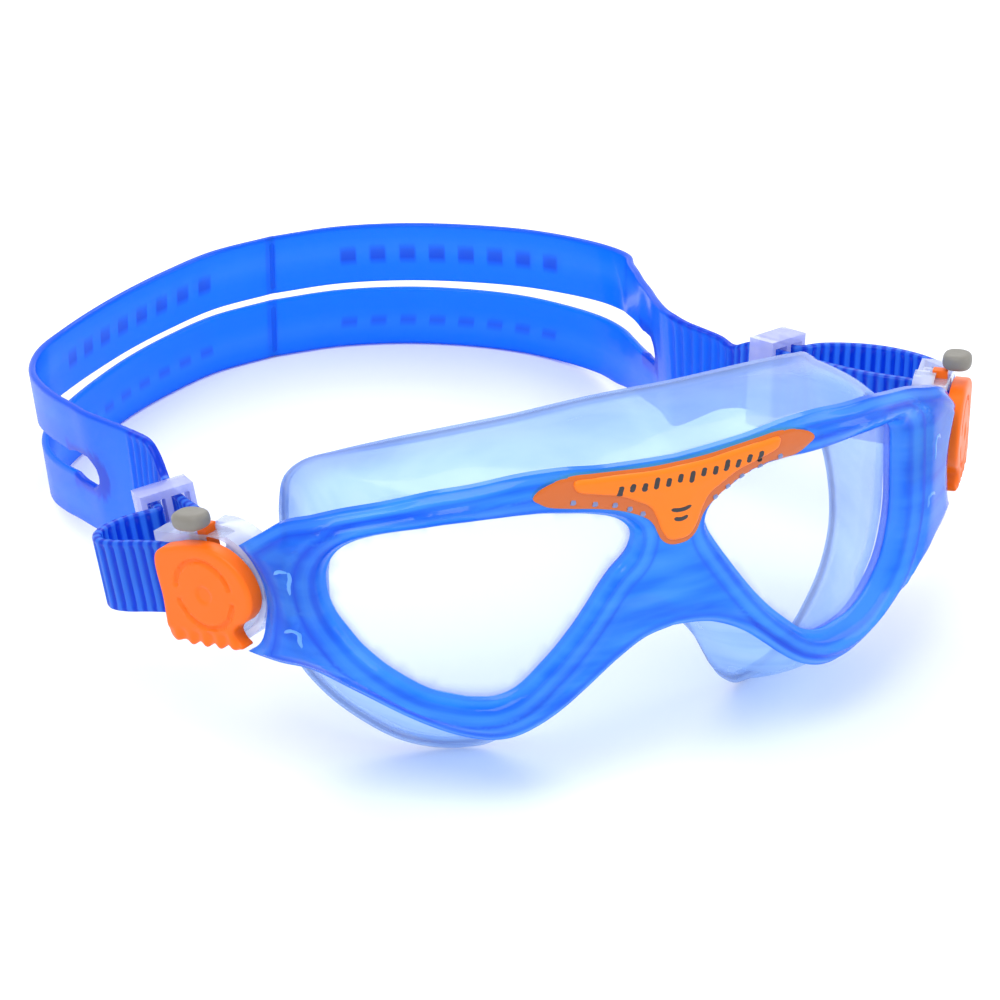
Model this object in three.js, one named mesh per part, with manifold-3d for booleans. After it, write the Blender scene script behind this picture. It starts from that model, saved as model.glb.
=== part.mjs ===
// Junior swim mask (swim goggles with a one-piece wrap frame), millimetres, +Z up.
// The wearer looks along -Y, +X is the wearer's left.
// Working origin while modelling: lower tip of the bridge badge on the plane of symmetry.
// The exported frame has its origin under the middle of the object, on the surface it lies on.
import * as THREE from 'three';
import { mergeVertices } from 'three/addons/utils/BufferGeometryUtils.js';
import Module from 'manifold-3d';

const wasm = await Module();
wasm.setup();

// ---------------------------------------------------------------- driving dimensions
const REST_Z = 47.5;            // height of the badge tip above the resting surface
const MID_Y = 92.32;            // middle of the object's depth, from the badge tip
const FRAME_T = 5.0;            // thickness of the front frame round the lenses
const FLANGE_T = 2.4;           // thickness of its outer flange
const LENS_FRONT = 2.6;         // depth of the lens face behind the frame's front face
const LENS_T = 1.6;             // lens thickness
const SKIRT_T = 1.7;            // wall of the face skirt
const GAP = 0.35;               // clearance between touching pieces
const STRAP_T = 1.5;            // strap thickness
const STRAP_W = 13.4;           // width of the strap's tail
// The mask is soft and its wearer's left end is flexed outward a little, so each side has its own numbers:
// swivel centre, degrees from the sideways axis to the buckle's rearward axis, degrees that its rear hangs down,
// strap keeper centre in the buckle (rearward, inward), degrees that the keeper's slots point inward
const BUCKLE = {
  1: { at: [75.25, 34.7, -11.2], yaw: 53, tilt: 9, keeper: [20.2, 36.7], turn: 60 },
  [-1]: { at: [71.3, 35.6, -10.4], yaw: 62, tilt: 13, keeper: [27.5, 20.5], turn: 30 },
};
const ROLLER = [7.0, 5.5];      // strap roller centre in the buckle (rearward, inward)
const ROLLER_R = 1.3;

// ---------------------------------------------------------------- small helpers
const V2 = (p) => new THREE.Vector2(p[0], p[1]);
const shapeOf = (pts) => new THREE.Shape(pts.map(V2));

function toSolid(geometry) {
  let g = geometry.clone();
  g.deleteAttribute('normal');
  g.deleteAttribute('uv');
  g = mergeVertices(g, 1e-4);
  return new wasm.Manifold(new wasm.Mesh({
    numProp: 3,
    vertProperties: new Float32Array(g.attributes.position.array),
    triVerts: new Uint32Array(g.index.array),
  }));
}

function toGeometry(solid) {
  const m = solid.asOriginal().simplify(0.02).getMesh();
  const g = new THREE.BufferGeometry();
  const n = m.vertProperties.length / m.numProp;
  const pos = new Float32Array(n * 3);
  for (let i = 0; i < n; i++) for (let k = 0; k < 3; k++) pos[3 * i + k] = m.vertProperties[i * m.numProp + k];
  g.setAttribute('position', new THREE.BufferAttribute(pos, 3));
  g.setIndex(new THREE.BufferAttribute(new Uint32Array(m.triVerts), 1));
  g.computeVertexNormals();
  return g;
}

const minus = (a, ...rest) => rest.reduce((s, r) => s.subtract(toSolid(r)), a instanceof THREE.BufferGeometry ? toSolid(a) : a);
const plus = (a, ...rest) => rest.reduce((s, r) => s.add(toSolid(r)), a instanceof THREE.BufferGeometry ? toSolid(a) : a);
const both = (a, b) => toSolid(a).intersect(toSolid(b));

// Reflected copy of a geometry in the plane axis = 0, with its faces still pointing out.
function mirrored(geometry, axis) {
  const g = geometry.index ? geometry.clone() : mergeVertices(geometry.clone());
  const s = [1, 1, 1]; s[axis] = -1;
  g.scale(...s);
  const idx = g.index.array;
  for (let i = 0; i < idx.length; i += 3) { const t = idx[i]; idx[i] = idx[i + 1]; idx[i + 1] = t; }
  g.computeVertexNormals();
  return g;
}

// Outline given in (x, z), extruded along Y from y0 to y1.
function prismY(pts, y0, y1, holes = []) {
  const s = shapeOf(pts);
  for (const h of holes) s.holes.push(new THREE.Path(h.map(V2)));
  const g = new THREE.ExtrudeGeometry(s, { depth: y1 - y0, bevelEnabled: false });
  g.rotateX(Math.PI / 2);
  g.translate(0, y1, 0);
  return g;
}

// Outline given in (x, y), extruded along Z from z0 to z1.
function prismZ(pts, z0, z1, bevel = 0, segments = 1) {
  const g = new THREE.ExtrudeGeometry(shapeOf(pts), {
    depth: z1 - z0 - 2 * bevel, bevelEnabled: bevel > 0, bevelThickness: bevel, bevelSize: bevel, bevelOffset: -bevel, bevelSegments: segments,
  });
  g.translate(0, 0, z0 + bevel);
  return g;
}

function smooth(pts, count, closed = true) {
  const c = new THREE.CatmullRomCurve3(pts.map((p) => new THREE.Vector3(p[0], p[1], p[2] ?? 0)), closed, 'centripetal');
  const out = c.getSpacedPoints(count);
  if (closed) out.pop();
  return out.map((v) => [v.x, v.y, v.z]);
}

const area = (p) => p.reduce((s, a, i) => { const b = p[(i + 1) % p.length]; return s + a[0] * b[1] - b[0] * a[1]; }, 0) / 2;

// Moves a closed outline outward by d (inward when d is negative).
function offset(pts, d) {
  const sgn = area(pts) > 0 ? 1 : -1;
  const n = pts.length;
  return pts.map((p, i) => {
    const a = pts[(i + n - 1) % n], b = pts[(i + 1) % n];
    let e1 = [p[0] - a[0], p[1] - a[1]], e2 = [b[0] - p[0], b[1] - p[1]];
    const l1 = Math.hypot(...e1) || 1, l2 = Math.hypot(...e2) || 1;
    const n1 = [e1[1] / l1, -e1[0] / l1], n2 = [e2[1] / l2, -e2[0] / l2];
    let m = [n1[0] + n2[0], n1[1] + n2[1]];
    const l = Math.hypot(...m) || 1;
    m = [m[0] / l, m[1] / l];
    const k = Math.min(1.6, 1 / Math.max(0.3, m[0] * n1[0] + m[1] * n1[1]));
    return [p[0] + sgn * m[0] * d * k, p[1] + sgn * m[1] * d * k];
  });
}

// Ribbon of even thickness about an open centre line in the plane.
function ribbon(line, t) {
  const L = [], R = [];
  line.forEach((p, i) => {
    const a = line[Math.max(0, i - 1)], b = line[Math.min(line.length - 1, i + 1)];
    const dx = b[0] - a[0], dy = b[1] - a[1], l = Math.hypot(dx, dy);
    L.push([p[0] - dy / l * t / 2, p[1] + dx / l * t / 2]);
    R.push([p[0] + dy / l * t / 2, p[1] - dx / l * t / 2]);
  });
  return L.concat(R.reverse());
}

// Closed body through a list of equal-length rings; 'loop' joins the last ring to the first.
function loft(rings, loop = false) {
  const n = rings[0].length, m = rings.length;
  const pos = [], idx = [];
  for (const r of rings) for (const p of r) pos.push(p[0], p[1], p[2]);
  const last = loop ? m : m - 1;
  for (let i = 0; i < last; i++) {
    const a = i * n, b = ((i + 1) % m) * n;
    for (let j = 0; j < n; j++) {
      const k = (j + 1) % n;
      idx.push(a + j, b + j, b + k, a + j, b + k, a + k);
    }
  }
  if (!loop) {
    for (let j = 1; j < n - 1; j++) {
      idx.push(0, j, j + 1);
      const e = (m - 1) * n;
      idx.push(e, e + j + 1, e + j);
    }
  }
  const g = new THREE.BufferGeometry();
  g.setAttribute('position', new THREE.BufferAttribute(new Float32Array(pos), 3));
  g.setIndex(idx);
  // make the faces point outward
  let vol = 0;
  const P = (i) => new THREE.Vector3(pos[3 * i], pos[3 * i + 1], pos[3 * i + 2]);
  for (let i = 0; i < idx.length; i += 3) vol += P(idx[i]).dot(P(idx[i + 1]).cross(P(idx[i + 2])));
  if (vol < 0) { for (let i = 0; i < idx.length; i += 3) { const t = idx[i]; idx[i] = idx[i + 1]; idx[i + 1] = t; } g.setIndex(idx); }
  g.computeVertexNormals();
  return g;
}

// ---------------------------------------------------------------- materials
const mat = (color, roughness, metalness = 0, opacity = 1) => new THREE.MeshStandardMaterial({ color, roughness, metalness, opacity, transparent: opacity < 1 });
const M = {
  frame: mat(0x2f6fe8, 0.22, 0, 0.85),
  skirt: mat(0xbfdff8, 0.35, 0, 0.5),
  lens: mat(0xe6f2fb, 0.05, 0, 0.3),
  orange: mat(0xff7e12, 0.38),
  clear: mat(0xe3e6f0, 0.15, 0, 0.5),
  grey: mat(0x97928a, 0.45),
  strap: mat(0x1f63e6, 0.4, 0, 0.85),
  steel: mat(0xb8bcc0, 0.3, 1.0),
  nylon: mat(0xd9dde4, 0.4),
};

// ---------------------------------------------------------------- plan curve of the frame's front face (x, y), right half
const FRONT = [[0, 0.8], [10, 1.0], [21, 1.8], [29, 3.3], [36, 5.9], [42.6, 9.2], [48.8, 13.2], [54.3, 16.9], [59.2, 20.0], [63.0, 23.2], [66.2, 27.4], [68.8, 32.0], [72.0, 38.0]];
const frontCurve = new THREE.CatmullRomCurve3([...FRONT.slice(1).reverse().map((p) => new THREE.Vector3(-p[0], p[1], 0)), ...FRONT.map((p) => new THREE.Vector3(p[0], p[1], 0))], false, 'centripetal');
// outward flex of the wearer's left end
const flex = (x) => (x > 0 ? THREE.MathUtils.smoothstep(x, 55.5, 73) : 0);
const FRONT_PTS = frontCurve.getSpacedPoints(56).map((v) => [v.x + 4.1 * flex(v.x), v.y - 0.8 * flex(v.x)]);

// A point on the plan curve at x, moved d into the frame along the normal.
function onFront(x, d) {
  const F = FRONT_PTS;
  let i = 0;
  while (i < F.length - 2 && F[i + 1][0] < x) i++;
  const a = F[i], b = F[i + 1], k = (x - a[0]) / (b[0] - a[0]);
  const nrm = (j) => { const p = F[Math.max(0, j - 1)], q = F[Math.min(F.length - 1, j + 1)]; const l = Math.hypot(q[0] - p[0], q[1] - p[1]); return [-(q[1] - p[1]) / l, (q[0] - p[0]) / l]; };
  const n1 = nrm(i), n2 = nrm(i + 1);
  return [a[0] + (b[0] - a[0]) * k + (n1[0] * (1 - k) + n2[0] * k) * d, a[1] + (b[1] - a[1]) * k + (n1[1] * (1 - k) + n2[1] * k) * d];
}

// Curved sheet following the front face, between two depths.
function slab(d0, d1, z0 = -60, z1 = 40) {
  const outer = FRONT_PTS.map((p) => onFront(p[0], d0));
  const inner = FRONT_PTS.map((p) => onFront(p[0], d1)).reverse();
  return prismZ(outer.concat(inner), z0, z1);
}

// ---------------------------------------------------------------- outlines, (x, z)
const TOP = [[0, 15.6], [8, 16], [14, 16.4], [21.3, 17.2], [28.9, 16.9], [35.9, 15.4], [42.6, 13.9], [48.8, 11.6], [54.6, 9.4], [60.2, 6.8], [64.7, 4.4], [68.0, 2.6], [71.0, 1.2]];
const LOW = [[71.0, -21.5], [66, -21.6], [60, -23.6], [53.6, -26.4], [47.2, -29.2], [42, -31], [37.3, -32.3], [33.7, -32.6], [29.8, -32], [25.7, -30.4], [22.2, -28.2], [18, -24.7], [14.4, -21.8], [10.2, -19.2], [6.8, -17.6], [3, -17], [0, -16.9]];
const half = TOP.concat(LOW);
const frameOutline = half.map((p) => [p[0] + 4.1 * flex(p[0]), p[1] - 0.6 * flex(p[0])]).concat(half.slice(1, -1).reverse().map((p) => [-p[0], p[1]]));
const WINDOW = smooth([[7.0, 0], [7.5, 3], [9.4, 5.6], [13.7, 7.9], [20.5, 8.9], [26, 8.8], [31.9, 8.4], [39.2, 7.4], [44.9, 5.7], [49.3, 4.0], [52.8, 1.6], [55.0, -3.1], [54.4, -9.5], [51.6, -16.1], [48.6, -19.3], [45.4, -21.6], [42, -23.3], [38.5, -24.5], [34.7, -25.3], [30.7, -25.0], [26.4, -22.9], [21.9, -19], [17.3, -14], [12.8, -8.5], [8.8, -3.5]], 40).map((p) => [p[0], p[1]]);
const BADGE_HALF = [[0, 15.1], [5, 15.2], [10.5, 15.6], [15.5, 16.0], [19.5, 16.3], [23, 15.8], [25.8, 14.5], [26.5, 13.4], [25.2, 12.2], [23.8, 11.3], [20, 10.4], [15.3, 9.5], [11, 8.3], [8, 7], [5.8, 5.6], [4.7, 4.2], [4.2, 3], [3.3, 1.2], [1.8, 0], [0, -0.3]];
const badgeOutline = BADGE_HALF.concat(BADGE_HALF.slice(1, -1).reverse().map((p) => [-p[0], p[1]]));

// ---------------------------------------------------------------- face skirt: soft seal, one ring round both eyes
// front edge behind the frame (x, z), and rear sealing edge (x, y, z), right half
const SKIRT_FRONT = [[0, 14.6], [8, 14.9], [14, 15.3], [21, 16.0], [29, 15.7], [36, 14.2], [42.5, 12.6], [48.0, 10.6], [52, 8.2], [54.4, 4.0], [54.9, -3], [54.9, -10], [54.6, -16.5], [52.6, -21.6], [49.4, -24.8], [45.6, -27.6], [41.3, -29.9], [37, -31.1], [33.5, -31.4], [29.8, -30.9], [26, -29.6], [22.6, -27.2], [18.8, -23.8], [15, -20.6], [10.6, -18.1], [6.8, -16.6], [3, -16.0], [0, -15.9]];
const SKIRT_REAR = [[0, 35.5, 10.9], [8, 35.2, 10.9], [15, 35.2, 10.7], [22, 36.0, 10.3], [30, 37.8, 9.4], [37, 40.6, 8.0], [43.5, 44, 6.2], [48.6, 47.4, 4.0], [51.4, 48.8, 1.0], [52.4, 48.6, -4], [52.8, 47.4, -10], [52.8, 45.4, -17], [52.4, 42.2, -24], [51.0, 37.8, -30.5], [47.8, 32.6, -36.5], [43.2, 27.8, -41.6], [37.8, 23.8, -45.4], [32, 21.2, -47.0], [28, 20.0, -47.5], [24, 18.6, -46.2], [20.4, 17.4, -43.0], [17, 16.2, -38.4], [14, 15.2, -33.2], [11.2, 14.4, -28.2], [8.2, 14.0, -24], [5.4, 14.2, -20.8], [2.6, 14.6, -19.2], [0, 14.8, -18.7]];
// stations all the way round: front point, rear point, side, depth of the front edge, direction into the chamber
const skirtStations = [];
{
  const full = SKIRT_FRONT.map((f, i) => [f, SKIRT_REAR[i], 1]);
  for (let i = SKIRT_FRONT.length - 2; i > 0; i--) full.push([SKIRT_FRONT[i], SKIRT_REAR[i], -1]);
  for (const [f, r, s] of full) {
    // over the lenses' outer ends the skirt stays behind the full thickness of the frame
    const k = THREE.MathUtils.smoothstep(f[0], 43.5, 48.5);
    const d = FLANGE_T + (FRAME_T - FLANGE_T) * k + GAP;
    const c = [Math.min(f[0], 30), -6];
    const A = onFront(f[0], d);
    const dir = new THREE.Vector3(r[0] - A[0], r[1] - A[1], r[2] - f[1]).normalize();
    const inward = f[0] < 6 ? new THREE.Vector3(0, 0, f[1] > 0 ? -1 : 1) : new THREE.Vector3(c[0] - r[0], 0, c[1] - r[2]);
    inward.addScaledVector(dir, -inward.dot(dir)).normalize();
    const at = (t, depth) => { const q = onFront(f[0] + inward.x * t, depth); return new THREE.Vector3(q[0], q[1], f[1] + inward.z * t); };
    skirtStations.push({ f, r, s, d, inward, at });
  }
}
function skirtSolid() {
  return loft(skirtStations.map(({ r, s, d, inward, at }) => {
    const A = at(0, d), B = new THREE.Vector3(...r);
    const mid = A.clone().lerp(B, 0.55).addScaledVector(inward, -1.5);
    const inner = (p) => p.clone().addScaledVector(inward, SKIRT_T);
    const pts = [A, mid, B, inner(B), inner(mid), at(1.3, Math.max(FRAME_T + 0.6, d + 1.2)), at(1.3, d)];
    return pts.map((p) => [s * p.x, p.y, p.z]);
  }), true);
}
// groove in the back of the frame that the skirt's front edge is moulded into
function skirtGroove() {
  return loft(skirtStations.map(({ s, d, at }) => [at(-1.2, d - GAP), at(1.7, d - GAP), at(1.7, FRAME_T + 4), at(-1.2, FRAME_T + 4)].map((p) => [s * p.x, p.y, p.z])), true);
}

const root = new THREE.Group();
const mask = new THREE.Group();
mask.position.set(0, -MID_Y, REST_Z);
root.add(mask);
const put = (group, name, geometry, material) => {
  const g = geometry instanceof THREE.BufferGeometry ? geometry : toGeometry(geometry);
  const mesh = new THREE.Mesh(g, material);
  mesh.name = name;
  group.add(mesh);
  return mesh;
};

// ---------------------------------------------------------------- front frame
function buckleGroup(side) {
  const g = new THREE.Group();
  const { at } = BUCKLE[side], yaw = THREE.MathUtils.degToRad(BUCKLE[side].yaw), tilt = THREE.MathUtils.degToRad(BUCKLE[side].tilt);
  g.position.set(side * at[0], at[1], at[2]);
  g.rotation.set(0, tilt, side > 0 ? yaw : Math.PI - yaw, 'ZYX');
  g.updateMatrix();
  return g;
}
// Geometry made in buckle axes (X rearward, Y inward, Z up) brought into mask axes.
function inMask(geometry, side) {
  const g = side > 0 ? geometry.clone() : mirrored(geometry, 1);
  g.applyMatrix4(buckleGroup(side).matrix);
  return g;
}
const cylY = (r, y0, y1, seg = 28) => { const g = new THREE.CylinderGeometry(r, r, y1 - y0, seg); g.translate(0, (y0 + y1) / 2, 0); return g; };
const cylZ = (r, z0, z1, x, y, seg = 20) => { const g = new THREE.CylinderGeometry(r, r, z1 - z0, seg); g.rotateX(Math.PI / 2); g.translate(x, y, (z0 + z1) / 2); return g; };
const box = (x0, x1, y0, y1, z0, z1) => { const g = new THREE.BoxGeometry(x1 - x0, y1 - y0, z1 - z0); g.translate((x0 + x1) / 2, (y0 + y1) / 2, (z0 + z1) / 2); return g; };

{
  // outer flange, and a narrower step behind it that the skirt is moulded round
  let f = both(prismY(frameOutline, -20, 70), slab(0, FLANGE_T));
  f = f.add(both(prismY(offset(frameOutline, -2.4), -20, 70), slab(0.5, FRAME_T)));
  for (const s of [1, -1]) {
    const w = s > 0 ? WINDOW : WINDOW.map((p) => [-p[0], p[1]]).reverse();
    f = f.subtract(toSolid(prismY(w, -20, 70)));
    f = f.subtract(both(prismY(offset(w, 1.3), -20, 70), slab(-10, 1.3)));            // sunk edge in front of the lens
    f = f.subtract(both(prismY(offset(w, 1.3), -20, 70), slab(LENS_FRONT - 0.3, 30))); // rebate for the lens
    f = f.subtract(toSolid(inMask(cylY(10.9, -10, 30, 40), s)));
    // room for the cover's lower lobe to swing
    f = f.subtract(toSolid(inMask(toGeometry(both(cylY(12.0, -10, 30, 40), box(-20, 20, -12, 32, -20, -6.6))), s)));
    // and for the button above it
    f = f.subtract(toSolid(inMask(toGeometry(both(cylY(15.3, -10, 30, 40), box(-20, 20, -12, 32, 9.6, 20))), s)));
    f = f.subtract(toSolid(inMask(prismZ([[-16.4, 5.0], [-9.5, 5.0], [-9.5, 24], [-16.4, 24]], -6.3, 6.3), s))); // recess for the lug's foot
  }
  f = f.subtract(toSolid(skirtGroove()));
  f = f.subtract(both(prismY(offset(badgeOutline, GAP).concat(), -20, 40), slab(-10, 1.5)));
  put(mask, 'front_frame', f, M.frame);
}

// lenses sit in the rebate behind the frame's lips
for (const [s, name] of [[1, 'left_lens'], [-1, 'right_lens']]) {
  const w = offset(WINDOW, 0.95);
  const o = s > 0 ? w : w.map((p) => [-p[0], p[1]]).reverse();
  put(mask, name, both(prismY(o, -20, 70), slab(LENS_FRONT, LENS_FRONT + LENS_T)), M.lens);
}

put(mask, 'face_skirt', skirtSolid(), M.skirt);

// bridge badge: inset plate with a raised pad
{
  const plate = both(prismY(badgeOutline, -20, 40), slab(0.1, 1.15));
  const PAD = [[0, 14.6], [5, 14.7], [10.5, 15.1], [15.5, 15.4], [19.3, 15.4], [19.0, 13.6], [15.3, 12.3], [11, 11.1], [8, 9.5], [5.7, 8], [4.4, 5.7], [3.4, 3], [2.4, 1.4], [1.6, 0.8], [0, 0.6]];
  const pad = PAD.concat(PAD.slice(1, -1).reverse().map((p) => [-p[0], p[1]]));
  put(mask, 'bridge_badge', plate.add(both(prismY(pad, -20, 40), slab(-0.8, 0.9))), M.orange);
}

// ---------------------------------------------------------------- head strap: two bands behind the head, joined in a yoke at each side
{
  // plan point, top z, bottom z, outward lean of the top edge, half height of the slot
  const S = [
    [63.0, 78.0, -11.2, -24.3, 0.0, 0], [63.0, 79.6, -10.4, -24.8, 0.0, 0], [63.1, 81.4, -6.8, -28.2, 0.2, 0], [63.4, 84, -5.9, -29.6, 0.5, 0], [64.4, 90, -6.2, -31.6, 1.2, 0],
    [65.6, 97, -7.2, -33.6, 1.8, 0], [66.9, 104, -8.3, -35.4, 2.2, 0], [67.3, 110, -9.4, -36.9, 2.3, 1.9], [67.8, 118, -11, -38.6, 2.3, 2.6], [67.8, 126, -12.6, -40.7, 2.1, 2.7], [67.0, 134, -14.2, -42.6, 1.7, 2.4],
    [64.6, 142, -15.9, -44.4, 1.3, 2.0], [60.4, 150, -17.4, -46.1, 0.9, 1.7], [54.0, 157.4, -18.6, -47.1, 0.5, 1.4], [45.6, 164.6, -19.2, -47.5, 0.2, 1.1], [36.0, 171.4, -19.7, -47.5, 0, 0.9],
    [25.4, 177.2, -20.0, -47.5, 0, 0.8], [13.6, 182.0, -20.1, -47.5, 0, 0.8], [0, 183.9, -20.2, -47.5, 0, 0.8],
  ];
  // the wearer's left half lies nearer the middle: the strap is soft and has been laid down that way
  const L = [
    [52.6, 79.4, -9.9, -23.0, 0, 0], [52.8, 81.6, -9.5, -23.4, 0, 0], [51.8, 84.4, -9.1, -25.0, 0, 0], [49.8, 87.2, -8.5, -27.6, -0.3, 0], [48.0, 90.4, -7.9, -30.2, -0.7, 0],
    [47.2, 94.6, -7.5, -32.6, -1.1, 0], [49.2, 102.4, -8.9, -35.0, -1.5, 0], [51.8, 110.6, -10.7, -37.4, -1.5, 1.5], [53.4, 117.6, -12.0, -39.4, -1.2, 2.5], [55.0, 124, -13.1, -41.2, -0.8, 2.7], [56.6, 130.6, -14.5, -43.0, -0.3, 2.4],
    [58.0, 137, -15.8, -44.8, 0.7, 2.0], [57.8, 146, -17.6, -46.4, 0.5, 1.7], [54.4, 155, -18.8, -47.3, 0.3, 1.4], [48.0, 163.6, -19.4, -47.5, 0.1, 1.1], [39.0, 171.2, -19.8, -47.5, 0, 0.9],
    [27.8, 177.8, -20.0, -47.5, 0, 0.8], [14.4, 182.4, -20.1, -47.5, 0, 0.8],
  ];
  const all = L.map((p) => [...p]).concat([[...S[S.length - 1]]], S.slice(0, -1).reverse().map((p) => [-p[0], ...p.slice(1)]));
  const dirs = all.map((p, i) => {
    const a = all[Math.max(0, i - 1)], b = all[Math.min(all.length - 1, i + 1)];
    const l = Math.hypot(b[0] - a[0], b[1] - a[1]);
    return [(b[1] - a[1]) / l, -(b[0] - a[0]) / l];        // outward normal in plan
  });
  const section = (i, zt, zb) => {
    const p = all[i], n = dirs[i], h = (p[2] - p[3]) / 2, zm = (p[2] + p[3]) / 2;
    const at = (z, t) => { const k = p[4] * (z - zm) / h; return [p[0] + n[0] * (k + t), p[1] + n[1] * (k + t), z]; };
    const t = STRAP_T / 2;
    return [at(zt, t), at(zt, -t), at(zb, -t), at(zb, t)];
  };
  const zm = (i) => (all[i][2] + all[i][3]) / 2;
  const n = all.length, first = S.findIndex((p) => p[5] > 0), lastI = n - 1 - first;
  const upper = [], lower = [];
  for (let i = first - 1; i <= lastI + 1; i++) {
    upper.push(section(i, all[i][2], zm(i) + all[i][5]));
    lower.push(section(i, zm(i) - all[i][5], all[i][3]));
  }
  const yokeL = [], yokeR = [];
  const between = (p, q, k) => p.map((v, j) => v.map((c, m) => c + (q[j][m] - c) * k));
  const whole = (i) => section(i, all[i][2], all[i][3]);
  for (let i = 0; i <= first - 1; i++) yokeL.push(whole(i));
  yokeL.push(between(whole(first - 1), whole(first), 0.2));
  yokeR.push(between(whole(lastI + 1), whole(lastI), 0.2));
  for (let i = lastI + 1; i < n; i++) yokeR.push(whole(i));
  // the yoke and the bands share a section at the slot's end; each is carried a little past it
  let strap = toSolid(loft(upper)).add(toSolid(loft(lower)));
  strap = strap.add(toSolid(loft(yokeL))).add(toSolid(loft(yokeR)));
  put(mask, 'head_strap', strap, M.strap);
}

// ---------------------------------------------------------------- pieces of one buckle, in buckle axes: X rearward, Y inward, Z up
const deg = THREE.MathUtils.degToRad;
// point in the keeper's own axes: along the strap, and outward across it
const keeperAxes = (side) => {
  const { keeper, turn } = BUCKLE[side], c = Math.cos(deg(turn)), n = Math.sin(deg(turn));
  return (along, out) => [keeper[0] + c * along + n * out, keeper[1] + n * along - c * out];
};

const B = { tail: {}, keeper: {} };

// clear housing: round front plate with a rim, and two cheeks that carry the roller
{
  const arc = (r, a0, a1, n) => Array.from({ length: n + 1 }, (_, i) => { const a = deg(a0 + (a1 - a0) * i / n); return [r * Math.cos(a), r * Math.sin(a)]; });
  const toXZ = (pts, y0, y1) => prismY(pts, y0, y1);
  const disc = [[1.4, 10.2], ...arc(10.4, 82, 278, 26), [1.4, -10.2]];
  let h = toSolid(toXZ(disc, 7.3, 8.6));
  const rimIn = [[1.4, 8.9], ...arc(9.1, 82, 278, 26), [1.4, -8.9]];
  let rim = toSolid(toXZ(disc, 2.2, 8.0)).subtract(toSolid(toXZ(rimIn, 0, 7.4)));
  h = h.add(rim);
  // cheeks
  h = h.add(toSolid(box(0.6, 12.8, 2.2, 8.6, 7.2, 9.0)));
  h = h.add(toSolid(box(0.6, 12.8, 2.2, 8.6, -9.0, -7.2)));
  h = h.add(toSolid(box(0.6, 6.6, 2.2, 7.6, 8.8, 9.3)));
  // stem guide, axle holes, pivot hole, opening of the chamber towards the strap
  h = h.subtract(toSolid(box(0.3, 3.4, 2.35, 5.9, 5, 14)));
  h = h.subtract(toSolid(cylZ(0.95, -14, 14, ROLLER[0], ROLLER[1], 16)));
  h = h.subtract(toSolid(cylY(1.95, 4, 12, 24)));
  // flat that leaves the button its travel
  h = h.subtract(toSolid(box(-4.2, 7.2, -2, 4.7, 9.35, 12)));
  // post that guides the ratchet spring
  const post = new THREE.CylinderGeometry(0.5, 0.5, 4.2, 10); post.rotateZ(Math.PI / 2); post.translate(-7.2, 4.9, -2.2);
  h = h.add(toSolid(post));
  B.housing = toGeometry(h);
}

// orange thumb cover with its gripping edge below
{
  const C = [[10.6, 6.3], [6, 8.0], [1.5, 8.5], [-2.6, 8.2], [-6.2, 6.6], [-8.9, 3.8], [-10.0, 0.6], [-9.5, -2.5], [-7.6, -4.7], [-5.3, -5.9], [-4.1, -7.2], [-4.6, -8.8], [-5.6, -9.9], [-3.4, -10.5], [-1.6, -9.9], [-0.2, -10.6], [1.6, -9.9], [3.0, -10.6], [4.8, -9.9], [6.2, -10.5], [8.2, -9.8], [10.2, -10.1], [11.2, -9.2], [11.0, -2]];
  // domed plate: copies of the outline drawn in towards its middle, from the flat inner face to the crown
  const ringAt = (y, k) => C.map((p) => [0.4 + (p[0] - 0.4) * k, y, -0.8 + (p[1] + 0.8) * k]);
  let c = toSolid(loft([ringAt(1.8, 0.03), ringAt(1.8, 1), ringAt(0.2, 1), ringAt(-0.6, 0.95), ringAt(-1.15, 0.8), ringAt(-1.3, 0.03)]));
  // broken ring groove and centre dimple
  const ring = (r0, r1, a0, a1) => {
    const n = 12, p = [];
    for (let i = 0; i <= n; i++) { const a = deg(a0 + (a1 - a0) * i / n); p.push([0.6 + r1 * Math.cos(a), -0.4 + r1 * Math.sin(a)]); }
    for (let i = n; i >= 0; i--) { const a = deg(a0 + (a1 - a0) * i / n); p.push([0.6 + r0 * Math.cos(a), -0.4 + r0 * Math.sin(a)]); }
    return prismY(p, -3, -0.6);
  };
  c = c.subtract(toSolid(ring(5.7, 6.3, 15, 165))).subtract(toSolid(ring(5.7, 6.3, 195, 345)));
  const dimple = cylY(1.4, -3, -0.8, 16); dimple.translate(0.6, 0, -0.4);
  c = c.subtract(toSolid(dimple));
  B.cover = toGeometry(c);
}

// grey release button on an orange stem; the stem ends in a wedge
{
  const oval = [];
  for (let i = 0; i < 24; i++) { const a = i / 24 * Math.PI * 2; oval.push([2.1 + 3.5 * Math.sign(Math.cos(a)) * Math.abs(Math.cos(a)) ** 0.8, 1.2 + 2.7 * Math.sign(Math.sin(a)) * Math.abs(Math.sin(a)) ** 0.8]); }
  B.button = prismZ(oval, 11.0, 14.2, 0.7, 2);
  // stem: straight bar, foot cut on a slant
  const st = [[0.7, 10.7], [0.7, 3.4], [3.0, 1.2], [3.0, 10.7]];
  B.stem = prismY(st, 2.75, 5.5);
}

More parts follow.
